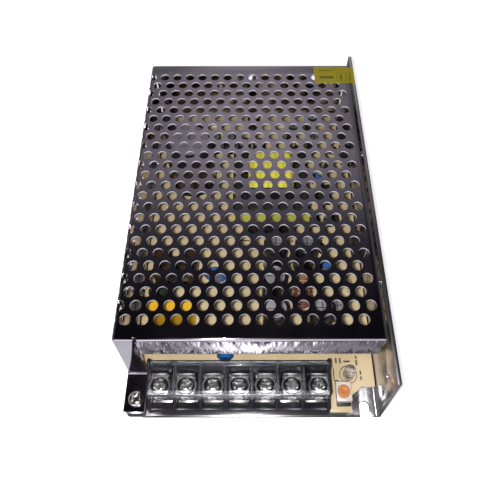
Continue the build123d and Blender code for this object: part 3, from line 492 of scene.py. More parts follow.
def makeWindingLines():
    # even ridges across one axis, as on wound wire and wrapped tape
    group, given, wanted = newGroup("windingLines", [("Pitch", 0.0005), ("AlongX", 0.0), ("AlongY", 0.0),
                                                     ("AlongZ", 1.0)], ["Ridge"])
    at = splitCoordinates(group)
    total = 0.0
    for axis in "XYZ":
        total = plus(group, total, times(group, at[axis], given["Along" + axis]))
    phase = times(group, mathNode(group, "DIVIDE", total, given["Pitch"]), pi)
    group.links.new(mathNode(group, "ABSOLUTE", mathNode(group, "SINE", phase)), wanted["Ridge"])
    return group


rolledSheet = makeRolledSheet()
mottle = makeMottle()
windingLines = makeWindingLines()


# materials

def newMaterial(name, **sockets):
    mat = bpy.data.materials.new(name)
    mat.use_nodes = True
    shader = mat.node_tree.nodes["Principled BSDF"]
    for label, value in sockets.items():
        shader.inputs[label.replace("_", " ")].default_value = value
    return mat, mat.node_tree, shader


def placeGroup(tree, group, **values):
    node = tree.nodes.new("ShaderNodeGroup")
    node.node_tree = group
    for label, value in values.items():
        node.inputs[label].default_value = value
    return node.outputs


def blendColours(tree, factor, first, second):
    # each colour is three numbers or the socket of another node
    blend = tree.nodes.new("ShaderNodeMix")
    blend.data_type = "RGBA"
    tree.links.new(factor, blend.inputs["Factor"])
    for slotIndex, colour in ((6, first), (7, second)):
        if isinstance(colour, tuple):
            blend.inputs[slotIndex].default_value = (*colour, 1)
        else:
            tree.links.new(colour, blend.inputs[slotIndex])
    return blend.outputs[2]


def addBump(tree, shader, height, depth):
    bump = tree.nodes.new("ShaderNodeBump")
    bump.inputs["Strength"].default_value = 1.0
    bump.inputs["Distance"].default_value = depth * mm
    tree.links.new(height, bump.inputs["Height"])
    tree.links.new(bump.outputs["Normal"], shader.inputs["Normal"])


def boxMask(tree, at, low, high):
    # 1 inside a box, 0 outside, from two corners in millimetres
    mask = None
    for axis, a, b in zip("XYZ", low, high):
        above = mathNode(tree, "GREATER_THAN", at[axis], a * mm)
        below = mathNode(tree, "LESS_THAN", at[axis], b * mm)
        inside = times(tree, above, below)
        mask = inside if mask is None else times(tree, mask, inside)
    return mask


def ringMask(tree, at, centre, radius, width):
    dx = minus(tree, at["X"], centre[0] * mm)
    dy = minus(tree, at["Y"], centre[1] * mm)
    squares = plus(tree, times(tree, dx, dx), times(tree, dy, dy))
    away = minus(tree, mathNode(tree, "SQRT", squares), radius * mm)
    return mathNode(tree, "LESS_THAN", mathNode(tree, "ABSOLUTE", away), width / 2 * mm)


def eitherOf(tree, masks):
    total = masks[0]
    for mask in masks[1:]:
        total = mathNode(tree, "MAXIMUM", total, mask)
    return total


def sheetMetal(name, dark, light, roughness, wave=0.02, lines=0.8, smudge=1.2, unevenness=0.12):
    mat, tree, shader = newMaterial(name, Metallic=1.0)
    sheet = placeGroup(tree, rolledSheet, Lines=lines, Smudge=smudge)
    tone = plus(tree, sheet["Tone"], 0.5)
    tree.links.new(blendColours(tree, tone, dark, light), shader.inputs["Base Color"])
    tree.links.new(plus(tree, times(tree, sheet["Roughness"], unevenness), roughness),
                   shader.inputs["Roughness"])
    addBump(tree, shader, sheet["Height"], wave)
    return mat


def mouldedSurface(name, dark, light, roughness, scale=300, grain=2500, depth=0.01, metallic=0.0,
                   coat=0.0, specular=0.5):
    mat, tree, shader = newMaterial(name, Metallic=metallic, Roughness=roughness, Coat_Weight=coat,
                                    Coat_Roughness=0.08, Specular_IOR_Level=specular)
    spots = placeGroup(tree, mottle, Scale=scale, Grain=grain)
    tree.links.new(blendColours(tree, spots["Tone"], dark, light), shader.inputs["Base Color"])
    addBump(tree, shader, spots["Height"], depth)
    return mat


def woundSurface(name, grooveShade, ridge, roughness, pitch, along, depth, coat=0.3):
    mat, tree, shader = newMaterial(name, Roughness=roughness, Coat_Weight=coat, Coat_Roughness=0.15)
    share = {"AlongX": 0.0, "AlongY": 0.0, "AlongZ": 0.0}
    share["Along" + along] = 1.0
    turns = placeGroup(tree, windingLines, Pitch=pitch * mm, **share)
    # colour darkens from the ridge colour into the groove colour between turns: painted shade between the
    # turns
    tree.links.new(blendColours(tree, turns["Ridge"], grooveShade, ridge), shader.inputs["Base Color"])
    addBump(tree, shader, turns["Ridge"], depth)
    return mat


clearLook = {"spots": 120.0, "grain": 900.0, "depth": 0.0006, "shadowTint": (0.86, 0.87, 0.88, 1)}


def clearPlastic(name, tint, roughness, index=1.49, clearness=1.0):
    mat, tree, shader = newMaterial(name, Transmission_Weight=clearness, Roughness=roughness, IOR=index,
                                    Metallic=0.0)
    spots = placeGroup(tree, mottle, Scale=clearLook["spots"], Grain=clearLook["grain"])
    tree.links.new(blendColours(tree, spots["Tone"], tint, (1, 1, 1)), shader.inputs["Base Color"])
    addBump(tree, shader, spots["Height"], clearLook["depth"])
    # lamps shine through to what stands behind
    rays = tree.nodes.new("ShaderNodeLightPath")
    through = tree.nodes.new("ShaderNodeBsdfTransparent")
    through.inputs["Color"].default_value = clearLook["shadowTint"]
    either = tree.nodes.new("ShaderNodeMixShader")
    tree.links.new(rays.outputs["Is Shadow Ray"], either.inputs["Fac"])
    tree.links.new(shader.outputs[0], either.inputs[1])
    tree.links.new(through.outputs[0], either.inputs[2])
    tree.links.new(either.outputs[0], tree.nodes["Material Output"].inputs["Surface"])
    return mat


lipStreaks = {
    "box": ((-40.9, -64.2, 28), (60, -63.75, 40.9)),
    "stretch": 0.14, "scale": 300.0, "wave": 0.5,
    "middle": -1.0, "reach": 15.0,
    "lean": 0.26, "evenLean": 0.5, "hinge": 35,
}

punchedWalls = {
    "box": ((-47, -61, 41.25), (46, 76, 42.2)),
    "slope": 0.6, "colour": (0.56, 0.54, 0.57), "roughness": 0.4,
}


def coverMaterial():
    # rolled sheet with matt hole walls, whose lip leans and waves so that it catches the floor in streaks
    lip, walls = lipStreaks, punchedWalls
    mat = sheetMetal("coverMetal", (0.40, 0.375, 0.42), (0.56, 0.53, 0.58), 0.10)
    tree = mat.node_tree
    shader = tree.nodes["Principled BSDF"]
    at = splitCoordinates(tree)
    streaks = noiseNode(tree, stretchedPlace(tree, 1, 1, lip["stretch"]), lip["scale"], 2.0, 0.6)
    waving = times(tree, minus(tree, streaks, 0.5), lip["wave"])
    bell = bellCurve(tree, minus(tree, at["X"], lip["middle"] * mm), lip["reach"] * mm)
    leaning = times(tree, mathNode(tree, "MAXIMUM", bell, lip["evenLean"]), lip["lean"])
    down = times(tree, minus(tree, lip["hinge"] * mm, at["Z"]), 1.0 / mm)
    height = times(tree, plus(tree, waving, leaning), down)
    lipBump = tree.nodes.new("ShaderNodeBump")
    lipBump.inputs["Distance"].default_value = mm
    tree.links.new(times(tree, height, boxMask(tree, at, *lip["box"])), lipBump.inputs["Height"])
    sheetBump = shader.inputs["Normal"].links[0].from_node
    tree.links.new(lipBump.outputs["Normal"], sheetBump.inputs["Normal"])
    upright = mathNode(tree, "ABSOLUTE", splitCoordinates(tree, "Normal")["Z"])
    steep = mathNode(tree, "LESS_THAN", upright, walls["slope"])
    punched = times(tree, steep, boxMask(tree, at, *walls["box"]))
    rolled = shader.inputs["Base Color"].links[0].from_socket
    tree.links.new(blendColours(tree, punched, rolled, walls["colour"]), shader.inputs["Base Color"])
    tree.links.new(minus(tree, 1.0, punched), shader.inputs["Metallic"])
    rough = shader.inputs["Roughness"].links[0].from_socket
    tree.links.new(plus(tree, rough, times(tree, punched, walls["roughness"])), shader.inputs["Roughness"])
    return mat


board = {
    "laminate": ((0.46, 0.36, 0.205), (0.60, 0.48, 0.295)),
    "ink": (0.03, 0.025, 0.02), "inkAbove": 6.75,
    "underside": (0.03, 0.22, 0.12), "undersideBelow": 5.21,
    "ring": ((37.1, -64.5), 3.3, 0.3),
    "bars": [
        ((32.4, -60.2), (33.0, -58.2)), ((34.0, -60.2), (34.6, -58.2)), ((35.6, -59.8), (38.2, -59.2)),
        ((40.4, -61.0), (41.0, -59.0)), ((40.4, -58.4), (41.0, -57.4)), ((41.6, -66.6), (42.2, -65.2)),
        ((41.6, -64.6), (42.2, -63.0)), ((31.2, -66.4), (31.6, -62.2)), ((31.2, -67.0), (33.0, -66.6)),
    ],
}


def boardMaterial():
    mat, tree, shader = newMaterial("boardLaminate", Roughness=0.42)
    at = splitCoordinates(tree)
    spots = placeGroup(tree, mottle, Scale=90.0, Grain=1400.0)
    laminate = blendColours(tree, spots["Tone"], *board["laminate"])
    marks = [ringMask(tree, at, *board["ring"])] + [boxMask(tree, at, *bar) for bar in board["bars"]]
    topSide = mathNode(tree, "GREATER_THAN", at["Z"], board["inkAbove"] * mm)
    printed = times(tree, eitherOf(tree, marks), topSide)
    withPrint = blendColours(tree, printed, laminate, board["ink"])
    underside = mathNode(tree, "LESS_THAN", at["Z"], board["undersideBelow"] * mm)
    tree.links.new(blendColours(tree, underside, withPrint, board["underside"]), shader.inputs["Base Color"])
    addBump(tree, shader, spots["Height"], 0.006)
    return mat


# name, dark, light, roughness, spots and grain per metre, bump, metallic, coat, specular
mouldedFinishes = {
    "nickel": ("nickelPlate", (0.58, 0.57, 0.55), (0.74, 0.73, 0.71), 0.16, 500, 3000, 0.004, 1.0),
    "tin": ("tinPlate", (0.42, 0.41, 0.40), (0.60, 0.59, 0.57), 0.22, 500, 2500, 0.006, 1.0),
    "plate": ("clampPlate", (0.30, 0.29, 0.30), (0.44, 0.43, 0.44), 0.28, 500, 2500, 0.006, 1.0),
    "brass": ("brassPosts", (0.55, 0.38, 0.14), (0.70, 0.50, 0.22), 0.28, 500, 2500, 0.004, 1.0),
    "film": ("darkFilm", (0.012, 0.011, 0.012), (0.03, 0.028, 0.03), 0.35, 300, 2500, 0.01, 0, 0, 0.25),
    "block": ("blackMoulding", (0.006, 0.006, 0.009), (0.014, 0.013, 0.019), 0.3, 200, 3000, 0.008,
              0, 0, 0.22),
    "dark": ("darkMoulding", (0.009, 0.008, 0.009), (0.02, 0.018, 0.02), 0.42, 250, 3000, 0.01, 0, 0, 0.25),
    "white": ("whiteMoulding", (0.50, 0.44, 0.41), (0.64, 0.57, 0.53), 0.35, 250, 3000, 0.006),
    "orange": ("orangeMoulding", (0.42, 0.15, 0.035), (0.55, 0.22, 0.06), 0.3, 400, 3000, 0.006),
    "thermistor": ("dippedDark", (0.012, 0.018, 0.012), (0.03, 0.04, 0.028), 0.5, 400, 1800, 0.03,
                   0, 0, 0.25),
    "filmCan": ("yellowCase", (0.60, 0.32, 0.012), (0.76, 0.44, 0.03), 0.34, 200, 2500, 0.01, 0, 0.2),
    "ferrite": ("groundFerrite", (0.012, 0.011, 0.012), (0.022, 0.021, 0.022), 0.5, 700, 3500, 0.02,
                0, 0, 0.2),
    "disc": ("blueDip", (0.012, 0.07, 0.22), (0.03, 0.13, 0.36), 0.3, 300, 1500, 0.02, 0, 0.3),
    "package": ("blackPackage", (0.012, 0.012, 0.013), (0.022, 0.022, 0.024), 0.5, 500, 4000, 0.02,
                0, 0, 0.25),
    "sleeve": ("blackSleeve", (0.008, 0.008, 0.011), (0.012, 0.012, 0.016), 0.28, 250, 1500, 0.01,
               0, 0.2, 0.25),
    "canTop": ("canTop", (0.55, 0.55, 0.56), (0.78, 0.78, 0.79), 0.42, 400, 2500, 0.008, 1.0),
    "greenTape": ("greenTape", (0.46, 0.46, 0.07), (0.62, 0.60, 0.12), 0.32, 150, 1200, 0.02, 0, 0.2),
    "pad": ("greyPad", (0.22, 0.23, 0.24), (0.32, 0.33, 0.34), 0.6, 300, 2500, 0.02),
    "enamel": ("enamelWire", (0.10, 0.022, 0.03), (0.20, 0.06, 0.07), 0.25, 500, 2500, 0.004, 0, 0.5),
    "toroid": ("toroidCore", (0.25, 0.22, 0.03), (0.34, 0.30, 0.06), 0.45, 400, 2500, 0.02),
    "resistor": ("beigeLacquer", (0.42, 0.33, 0.20), (0.56, 0.46, 0.30), 0.35, 400, 2500, 0.01, 0, 0.3),
}

finishes = {
    "cover": coverMaterial(),
    "chassis": sheetMetal("chassisMetal", (0.38, 0.365, 0.39), (0.55, 0.53, 0.56), 0.24, 0.006),
    "board": boardMaterial(),
    "clear": clearPlastic("clearMoulding", (0.93, 0.95, 0.97), 0.02),
    "lamp": clearPlastic("lampResin", (0.90, 0.86, 0.87), 0.03, 1.54, 0.86),
    "glassTube": clearPlastic("glassTube", (0.95, 0.97, 0.96), 0.01, 1.5),
    "choke": woundSurface("brownCoil", (0.016, 0.006, 0.003), (0.07, 0.028, 0.012), 0.35, 0.55, "Z", 0.06),
    "yellowTape": woundSurface("yellowTape", (0.52, 0.46, 0.03), (0.70, 0.64, 0.09), 0.3, 3.4, "X", 0.03,
                               0.35),
}
for key, values in mouldedFinishes.items():
    finishes[key] = mouldedSurface(*values)
print("materials made:", len(finishes))


# perforated cover

coverSheet = {
    "sheet": 0.8,
    "bend": 1.2,
    "bendSteps": 4,
    "front": -63.8,
    "right": 46.6,
    "bottom": 1.0,
    "lipBottom": 28.8,
    "flangeBottom": 34.0,
    "rearBottom": 1.6,
    "stepRight": -41.0,
    "slit": 0.4,
    "relief": 1.6,
    "tabTop": 6.3,
    "tabBottom": 5.5,
    "tabFront": -77.8,
    "tabOverlap": 0.5,
    "tabRoot": 0.8,
    "tabHole": 1.7,
    "screwHole": 1.62,
    "screwHeadSpan": 5.3,
    "burr": 0.12,
}

perforation = {
    "radius": 2.1,
    "sides": 20,
    "cutterLength": 3.2,
    "pitch": 6.0,
    "rows": 24,
    "firstRow": -56.3,
    "longStart": -48.0,
    "longCount": 16,
    "shortStart": -45.0,
    "shortCount": 15,
    "edgeKept": 0.45,
    "wallDrop": 2.4,
    "wallColumns": 2,
}


def holeCutter(top, left):
    spec = perforation
    radius, length, sides = spec["radius"], spec["cutterLength"], spec["sides"]
    rowPitch = spec["pitch"] * sqrt(3) / 2
    rowPairs = spec["rows"] // 2
    beyond = 100
    cutters = []
    for longRow, start, count in ((0, spec["shortStart"], spec["shortCount"]),
                                  (1, spec["longStart"], spec["longCount"])):
        y = spec["firstRow"] + longRow * rowPitch
        upright = addRod("topCutter", (start, y, top), radius, length, sides)
        repeated(upright, count, (spec["pitch"], 0, 0))
        repeated(upright, rowPairs, (0, 2 * rowPitch, 0))
        if start - radius < left:
            fold = addBlock("fold", (left - beyond, -beyond, 0), (left + spec["edgeKept"], beyond, beyond))
            cutAway(upright, fold)
        z = top - spec["wallDrop"] - longRow * spec["pitch"] / 2
        level = addRod("wallCutter", (left, y, z), radius, length, sides, "X")
        repeated(level, spec["wallColumns"], (0, 0, -spec["pitch"]))
        repeated(level, rowPairs, (0, 2 * rowPitch, 0))
        cutters += [upright, level]
    return joinUp("holeCutter", cutters)


def screwHoleCutter(node):
    # one rod through each screw's place, along the screw's own axis
    spec = coverSheet
    cutters = []
    for low, high in islands(node):
        centre = [(a + b) / 2 for a, b in zip(low, high)]
        spans = [b - a for a, b in zip(low, high)]
        if node == "flange_screws":
            along = "XYZ"[spans.index(max(spans))]
        else:
            along = "Y" if min(spans[0], spans[2]) > spec["screwHeadSpan"] else "X"
        cutters.append(addRod("screwCutter", centre, spec["screwHole"], 8, 24, along))
    return joinUp("screwCutter", cutters)


def makeFootTab(left, front):
    # the tab bent forward from the front flange, with a rounded root and a hole for its screw
    spec = coverSheet
    edge = spec["stepRight"] - spec["slit"] / 2
    root = spec["tabRoot"]
    tab = addBlock("tab", (left, spec["tabFront"], spec["tabBottom"]),
                   (edge, front + spec["tabOverlap"], spec["tabTop"]))
    fillet = addBlock("tabRoot", (left, front - root, spec["tabTop"] - 0.1),
                      (edge, front + spec["tabOverlap"], spec["tabTop"] + root))
    middle = ((left + spec["stepRight"]) / 2, front - root, spec["tabTop"] + root)
    cutAway(fillet, addRod("rootRound", middle, root, 20, 48, "X"))
    combine(tab, "UNION", fillet)
    footScrew = middleOf("foot_screw")
    cutAway(tab, addRod("tabHole", (footScrew[0], footScrew[1], 6), spec["tabHole"], 4))
    return tab


def makeCover():
    spec = coverSheet
    low, high = boxOf("mesh_cover")
    left, rear, top = low[0], high[1], high[2]
    front, right, bend, relief = spec["front"], spec["right"], spec["bend"], spec["relief"]
    cover = addBlock("perforatedCover", (left, front, spec["bottom"]), (right, rear, top))

    def reachesTop(edge):
        return max(cover.data.vertices[i].co.z for i in edge.vertices) / mm > top - 0.01

    editWhere(cover, "EDGE", reachesTop)
    bpy.ops.mesh.bevel(offset=bend * mm, segments=spec["bendSteps"], affect="EDGES")
    editWhere(cover, "FACE", lambda face: face.normal.z < -0.9)
    bpy.ops.mesh.delete(type="FACE")
    objectMode()
    applyModifier(cover, "SOLIDIFY", thickness=spec["sheet"] * mm, offset=-1, use_even_offset=True)
    inside = front + bend
    step, slit = spec["stepRight"], spec["slit"] / 2
    cuts = [
        ((step + slit, front - 1, -1), (right + 1, inside, spec["lipBottom"])),
        ((step - slit, front - 1, -1), (step + slit, inside, top - relief)),
        ((right - bend, inside, -1), (right + 1, rear - bend, spec["flangeBottom"])),
        ((right - bend, rear - bend, -1), (right + 1, rear + 1, top - bend)),
        ((right - bend, front - 1, -1), (right + 1, inside, top - bend)),
        ((left - 1, rear - bend, -1), (left + bend, rear + 1, top - bend)),
        ((left - 1, front - 1, -1), (step + slit, inside, spec["tabBottom"])),
        ((left - 1, rear - bend, -1), (right + 1, rear + 1, spec["rearBottom"])),
        ((step - relief / 2, front - 1, top - relief), (step + relief / 2, inside, top + 1)),
    ]
    for number, corners in enumerate(cuts):
        cutAway(cover, addBlock(f"cut{number}", *corners))
    combine(cover, "UNION", makeFootTab(left, front))
    cutAway(cover, holeCutter(top, left))
    for node in ("cover_screws", "flange_screws"):
        cutAway(cover, screwHoleCutter(node))
    roundEdges(cover, spec["burr"], 2, 50)
    smooth(cover, 30)
    finishPiece(cover, "case", "cover_metal", finishes["cover"], "mesh_cover")
    print("cover made:", len(cover.data.polygons), "faces")


makeCover()


# copies of hard-edged CAD nodes with their edges broken

def softCopy(node, name, width, slotName, finish, body="case"):
    piece = addToScene(name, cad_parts[node].data.copy())
    editAll(piece)
    bpy.ops.mesh.remove_doubles(threshold=1e-6)
    bpy.ops.mesh.dissolve_limited(angle_limit=radians(0.6))
    objectMode()
    roundEdges(piece, width, 2, 35)
    smooth(piece, 40)
    finishPiece(piece, body, slotName, finishes[finish], node)


brokenEdges = [
    ("chassis", "foldedChassis", 0.22, "chassis_metal", "chassis"),
    ("circuit_board", "circuitBoard", 0.08, "board_laminate", "board"),
    ("terminal_block_body", "terminalBlock", 0.14, "block_plastic", "block"),
    ("terminal_contacts", "contactPlates", 0.10, "terminal_metal", "tin"),
    ("trimmer_frame", "trimmerFrame", 0.18, "white_plastic", "white"),
    ("trimmer_base", "trimmerBase", 0.12, "dark_plastic", "dark"),
    ("transformer_core", "transformerCore", 0.30, "ferrite", "ferrite"),
    ("transformer_bobbin", "transformerBobbin", 0.18, "dark_plastic", "dark"),
    ("transformer_winding", "transformerWinding", 0.25, "winding_tape", "yellowTape"),
    ("mains_choke_core", "chokeCore", 0.20, "ferrite", "ferrite"),
    ("mains_choke_frame", "chokeFrame", 0.20, "dark_plastic", "dark"),
    ("mains_choke_coils", "chokeCoils", 0.30, "coil_tape", "choke"),
    ("bridge_rectifier", "bridgeRectifier", 0.18, "package_plastic", "package"),
    ("switching_transistors", "switchingTransistors", 0.14, "package_plastic", "package"),
    ("output_rectifier", "outputRectifier", 0.14, "package_plastic", "package"),
    ("control_chip", "controlChip", 0.10, "package_plastic", "package"),
    ("optocouplers", "optocouplers", 0.10, "package_plastic", "package"),
    ("terminal_cover", "clearFlap", 0.08, "clear_plastic", "clear", "terminal_cover"),
    ("trimmer_rotor", "trimmerRotor", 0.10, "orange_plastic", "orange", "trimmer_rotor"),
]
brokenEdges += [(f"clamp_plate_{pole}", f"clampPlate{pole}", 0.12, "terminal_metal", "plate", f"clamp_{pole}")
                for pole in range(1, 8)]

for values in brokenEdges:
    softCopy(*values)
print("hard edges broken:", len(brokenEdges), "pieces")


# screws

screwHead = {
    "dome": [(0, 0.92), (0.10, 1.0), (0.52, 1.0), (0.72, 0.93), (0.88, 0.78), (0.97, 0.5), (1.0, 0.22)],
    "tipShare": 0.8,
    "tipLength": 0.3,
    "slotShare": 0.66,
    "slotWidth": 0.95,
    "slotDepth": 0.5,
    "edge": 0.07,
    "terminalTurns": [8, 62, 40, 23, 71, 2, 88],
    "terminalShank": 1.75,
    "plateThickness": 0.8,
    "footTurn": 32,
    "footShank": 1.5,
}


def makeScrew(node, name, body, slotName, seat, turn, shank):
    # domed head with a cross recess above the seat, and a plain shank below it
    spec = screwHead
    low, high = boxOf(node)
    radius, height, length = (high[0] - low[0]) / 2, high[2] - seat, seat - low[2]
    rings = [(-length, shank * spec["tipShare"]), (-length + spec["tipLength"], shank), (0, shank)]
    rings += [(h * height, share * radius) for h, share in spec["dome"]]
    screw = stackRings(name, (0, 0, 0), rings)
    reach = radius * spec["slotShare"]
    half = spec["slotWidth"] / 2
    floor = height * (1 - spec["slotDepth"])
    for cornerX, cornerY in ((reach, half), (half, reach)):
        cutAway(screw, addBlock("recess", (-cornerX, -cornerY, floor), (cornerX, cornerY, height + 1)))
    roundEdges(screw, spec["edge"], 2, 45)
    editAll(screw)
    bpy.ops.transform.rotate(value=radians(turn), orient_axis="Z", center_override=(0, 0, 0))
    objectMode()
    smooth(screw, 38)
    x, y, _ = middleOf(node)
    screw.location = inMetres((x, y, seat))
    settle(screw)
    finishPiece(screw, body, slotName, finishes["nickel"], node)


for pole, turn in enumerate(screwHead["terminalTurns"], start=1):
    seat = boxOf(f"clamp_plate_{pole}")[0][2] + screwHead["plateThickness"]
    makeScrew(f"terminal_screw_{pole}", f"terminalScrew{pole}", f"screw_{pole}", "terminal_metal", seat, turn,
              screwHead["terminalShank"])
makeScrew("foot_screw", "footScrew", "case", "screw_steel", coverSheet["tabTop"], screwHead["footTurn"],
          screwHead["footShank"])
print("screws made")


# round cans

canShape = {
    "crimpShare": 0.06,
    "foot": 0.25,
    "footShare": 0.93,
    "crimp": [(1.6, 0), (2.2, 0.55), (3.0, 1), (3.8, 0.55), (4.4, 0)],
    "rimShare": 0.10,
    "rim": [(0.5, 0), (0.15, 0.15), (0, 0.5)],
    "topDrop": 0.5,
    "lidRise": 0.03,
    "lidGap": 0.02,
    "lidThickness": 0.16,
    "scoreShare": 0.8,
    "scoreWidth": 0.35,
    "scoreDepth": 0.15,
}


def makeCan(low, high):
    spec = canShape
    x, y = (low[0] + high[0]) / 2, (low[1] + high[1]) / 2
    z, height, radius = low[2], high[2] - low[2], (high[0] - low[0]) / 2
    crimp, rim = spec["crimpShare"] * 2 * radius, spec["rimShare"] * 2 * radius
    topRadius, lidLevel = radius - rim, height - spec["topDrop"]
    rings = [(0.0, radius * spec["footShare"]), (spec["foot"], radius)]
    rings += [(up * crimp, radius - inwards * crimp) for up, inwards in spec["crimp"]]
    rings += [(height - down * rim, radius - inwards * rim) for down, inwards in spec["rim"]]
    rings += [(height - spec["lidGap"], topRadius), (lidLevel, topRadius)]
    can = stackRings("can", (x, y, z), rings)
    lid = addRod("lid", (x, y, z + lidLevel + spec["lidRise"]), topRadius - spec["lidGap"],
                 spec["lidThickness"], 40)
    top = z + lidLevel + spec["lidRise"] + spec["lidThickness"] / 2
    reach, half = topRadius * spec["scoreShare"], spec["scoreWidth"] / 2
    for cornerX, cornerY in ((reach, half), (half, reach)):
        cutAway(lid, addBlock("score", (x - cornerX, y - cornerY, top - spec["scoreDepth"]),
                              (x + cornerX, y + cornerY, top + 1)))
    return can, lid


def makeCans(node, name):
    cans, lids = zip(*[makeCan(low, high) for low, high in islands(node)])
    sleeve = joinUp(name, cans)
    smooth(sleeve, 50)
    finishPiece(sleeve, "case", "capacitor_sleeve", finishes["sleeve"], node)
    tops = joinUp(name + "Tops", lids)
    smooth(tops, 30)
    finishPiece(tops, "case", "capacitor_sleeve", finishes["canTop"])


makeCans("reservoir_capacitor", "reservoirCan")
makeCans("output_capacitors", "outputCans")
makeCans("small_capacitors", "smallCans")
print("cans made")


# output inductor: a ring core with its wire wound through it

inductor = {"turns": 26, "wire": 1.0, "steps": 14, "boreShare": 0.4, "segments": (48, 16)}


def makeInductor():
    low, high = boxOf("output_inductor")
    centre = middleOf("output_inductor")
    thick = inductor["wire"]
    outer = (high[1] - low[1]) / 2
    bore = outer * inductor["boreShare"]
    ringRadius = (outer + bore) / 2
    tubeRadial = (outer - bore) / 2 - thick
    tubeSide = (high[0] - low[0]) / 2 - thick
    deselectAll()
    around, across = inductor["segments"]
    bpy.ops.mesh.primitive_torus_add(location=(0, 0, 0), major_radius=ringRadius * mm,
                                     minor_radius=tubeRadial * mm, major_segments=around,
                                     minor_segments=across, rotation=(0, pi / 2, 0))
    core = bpy.context.object
    core.name = "inductorCore"
    settle(core)
    core.scale = (tubeSide / tubeRadial, 1, 1)
    core.location = inMetres(centre)
    settle(core)
    smooth(core, 60)
    finishPiece(core, "case", "coil_enamel", finishes["toroid"], "output_inductor")
    curve = bpy.data.curves.new("inductorWire", "CURVE")
    curve.dimensions = "3D"
    curve.bevel_depth = thick / 2 * mm
    curve.bevel_resolution = 2
    spline = curve.splines.new("POLY")
    count = inductor["turns"] * inductor["steps"]
    spline.points.add(count - 1)
    for index in range(count):
        turn = 2 * pi * index / count
        wrap = 2 * pi * index / inductor["steps"]
        radial = ringRadius + (tubeRadial + thick / 2) * cos(wrap)
        side = (tubeSide + thick / 2) * sin(wrap)
        place = (centre[0] + side, centre[1] + radial * cos(turn), centre[2] + radial * sin(turn))
        spline.points[index].co = (*inMetres(place), 1)
    spline.use_cyclic_u = True
    makeActive(addToScene("inductorWire", curve))
    bpy.ops.object.convert(target="MESH")
    wire = bpy.context.object
    smooth(wire, 60)
    finishPiece(wire, "case", "coil_enamel", finishes["enamel"])


makeInductor()
print("inductor wound")


# sticker with a ruled table

sticker = {
    "left": 29.6, "right": 48.9, "front": 59.4, "rear": 70.3,
    "thickness": 0.03,
    "coverEdge": 46.4, "wallEdge": 47.6, "wallTop": 41.2,
    "paper": ((0.30, 0.25, 0.007), (0.40, 0.34, 0.015)),
    "ink": (0.10, 0.075, 0.01),
    "fade": {"scale": 2200.0, "share": 0.8, "least": 0.35},
    "lineWidth": 0.22,
    # marks as shares of the sticker, left, front, right, rear; a line where two of them are the same
    "marks": [
        (0.05, 0.10, 0.05, 0.88), (0.55, 0.10, 0.55, 0.88), (0.78, 0.10, 0.78, 0.60),
        (0.05, 0.10, 0.97, 0.10), (0.05, 0.88, 0.55, 0.88), (0.05, 0.60, 0.97, 0.60),
        (0.12, 0.72, 0.46, 0.80), (0.12, 0.26, 0.48, 0.44), (0.63, 0.22, 0.69, 0.52),
        (0.86, 0.38, 0.90, 0.50), (0.86, 0.18, 0.90, 0.30),
    ],
}


def stickerMaterial():
    spec = sticker
    mat, tree, shader = newMaterial("stickerPaper", Roughness=0.38, Coat_Weight=0.2, Coat_Roughness=0.2)
    at = splitCoordinates(tree)
    spots = placeGroup(tree, mottle, Scale=250.0, Grain=2500.0)
    paper = blendColours(tree, spots["Tone"], *spec["paper"])
    width, depth = spec["right"] - spec["left"], spec["rear"] - spec["front"]
    masks = []
    for x0, y0, x1, y1 in spec["marks"]:
        low = (spec["left"] + x0 * width, spec["front"] + y0 * depth)
        high = (spec["left"] + x1 * width + (spec["lineWidth"] if x0 == x1 else 0),
                spec["front"] + y1 * depth + (spec["lineWidth"] if y0 == y1 else 0))
        masks.append(boxMask(tree, at, low, high))
    fade = noiseNode(tree, stretchedPlace(tree), spec["fade"]["scale"])
    fade = plus(tree, times(tree, fade, spec["fade"]["share"]), spec["fade"]["least"])
    inked = times(tree, eitherOf(tree, masks), fade)
    tree.links.new(blendColours(tree, inked, paper, spec["ink"]), shader.inputs["Base Color"])
    addBump(tree, shader, spots["Height"], 0.004)
    return mat


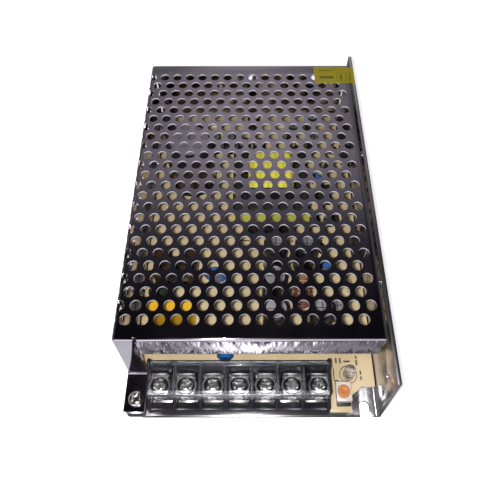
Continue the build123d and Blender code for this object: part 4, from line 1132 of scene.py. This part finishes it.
def makeSticker():
    # a thin slab that follows the step from the cover down to the wall's rim
    spec = sticker
    coverTop = boxOf("mesh_cover")[1][2]
    edge, end = spec["coverEdge"], spec["wallEdge"]
    slab = addBlock("yellowSticker", (spec["left"], spec["front"], coverTop),
                    (spec["right"], spec["rear"], coverTop + spec["thickness"]))
    for x in (edge, (edge + end) / 2, end):
        editAll(slab)
        bpy.ops.mesh.bisect(plane_co=(x * mm, 0, 0), plane_no=(1, 0, 0))
        objectMode()
    for vertex in slab.data.vertices:
        share = min(max((vertex.co.x / mm - edge) / (end - edge), 0), 1)
        vertex.co.z -= (coverTop - spec["wallTop"]) * mm * share * share * (3 - 2 * share)
    smooth(slab, 60)
    finishPiece(slab, "case", "cover_metal", stickerMaterial())


makeSticker()
print("sticker made")


# indicator lamp

lampShape = {
    "collar": 2.5, "collarHeight": 1.0, "shoulder": 0.02,
    "domeInset": 0.3, "domeSteps": 8, "domeShare": 0.96,
    "cup": ((-1.3, -0.25, 1.2), (0.2, 0.25, 4.0)),
    "post": ((0.5, -0.2, 1.2), (1.0, 0.2, 3.8)),
}


def makeLamp():
    spec = lampShape
    low, high = boxOf("indicator_lamp")
    x, y, _ = middleOf("indicator_lamp")
    foot = (x, y, low[2])
    radius = spec["collar"] - spec["domeInset"]
    centreHeight = high[2] - low[2] - radius
    rings = [(0, spec["collar"]), (spec["collarHeight"], spec["collar"]),
             (spec["collarHeight"] + spec["shoulder"], radius)]
    for step in range(spec["domeSteps"] + 1):
        angle = step / spec["domeSteps"] * pi / 2 * spec["domeShare"]
        rings.append((centreHeight + radius * sin(angle), radius * cos(angle)))
    lamp = stackRings("indicatorLamp", foot, rings)
    smooth(lamp, 50)
    finishPiece(lamp, "case", "lamp_lens", finishes["lamp"], "indicator_lamp")
    leads = [addBlock(name, *[[a + b for a, b in zip(foot, corner)] for corner in spec[name]])
             for name in ("cup", "post")]
    inner = joinUp("lampLeads", leads)
    roundEdges(inner, 0.06)
    finishPiece(inner, "case", "terminal_metal", finishes["tin"])


makeLamp()
print("lamp made")


# nodes whose CAD shape stays

carriedOver = {
    "cover_screws": "nickel", "flange_screws": "nickel", "board_screws": "nickel", "package_screws": "nickel",
    "board_standoffs": "brass", "insulation_sheet": "film", "fuse_glass": "glassTube", "fuse_caps": "tin",
    "fuse_clips": "tin", "inrush_thermistor": "thermistor", "film_capacitor": "filmCan",
    "disc_capacitors": "disc", "transformer_core_tape": "greenTape", "transformer_pins": "tin",
    "package_pads": "pad", "resistors": "resistor", "diodes": "package", "wire_links": "tin",
}

for node, finish in carriedOver.items():
    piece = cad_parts[node]
    piece.data.materials.clear()
    piece.data.materials.append(finishes[finish])
print("materials carried over:", len(carriedOver))
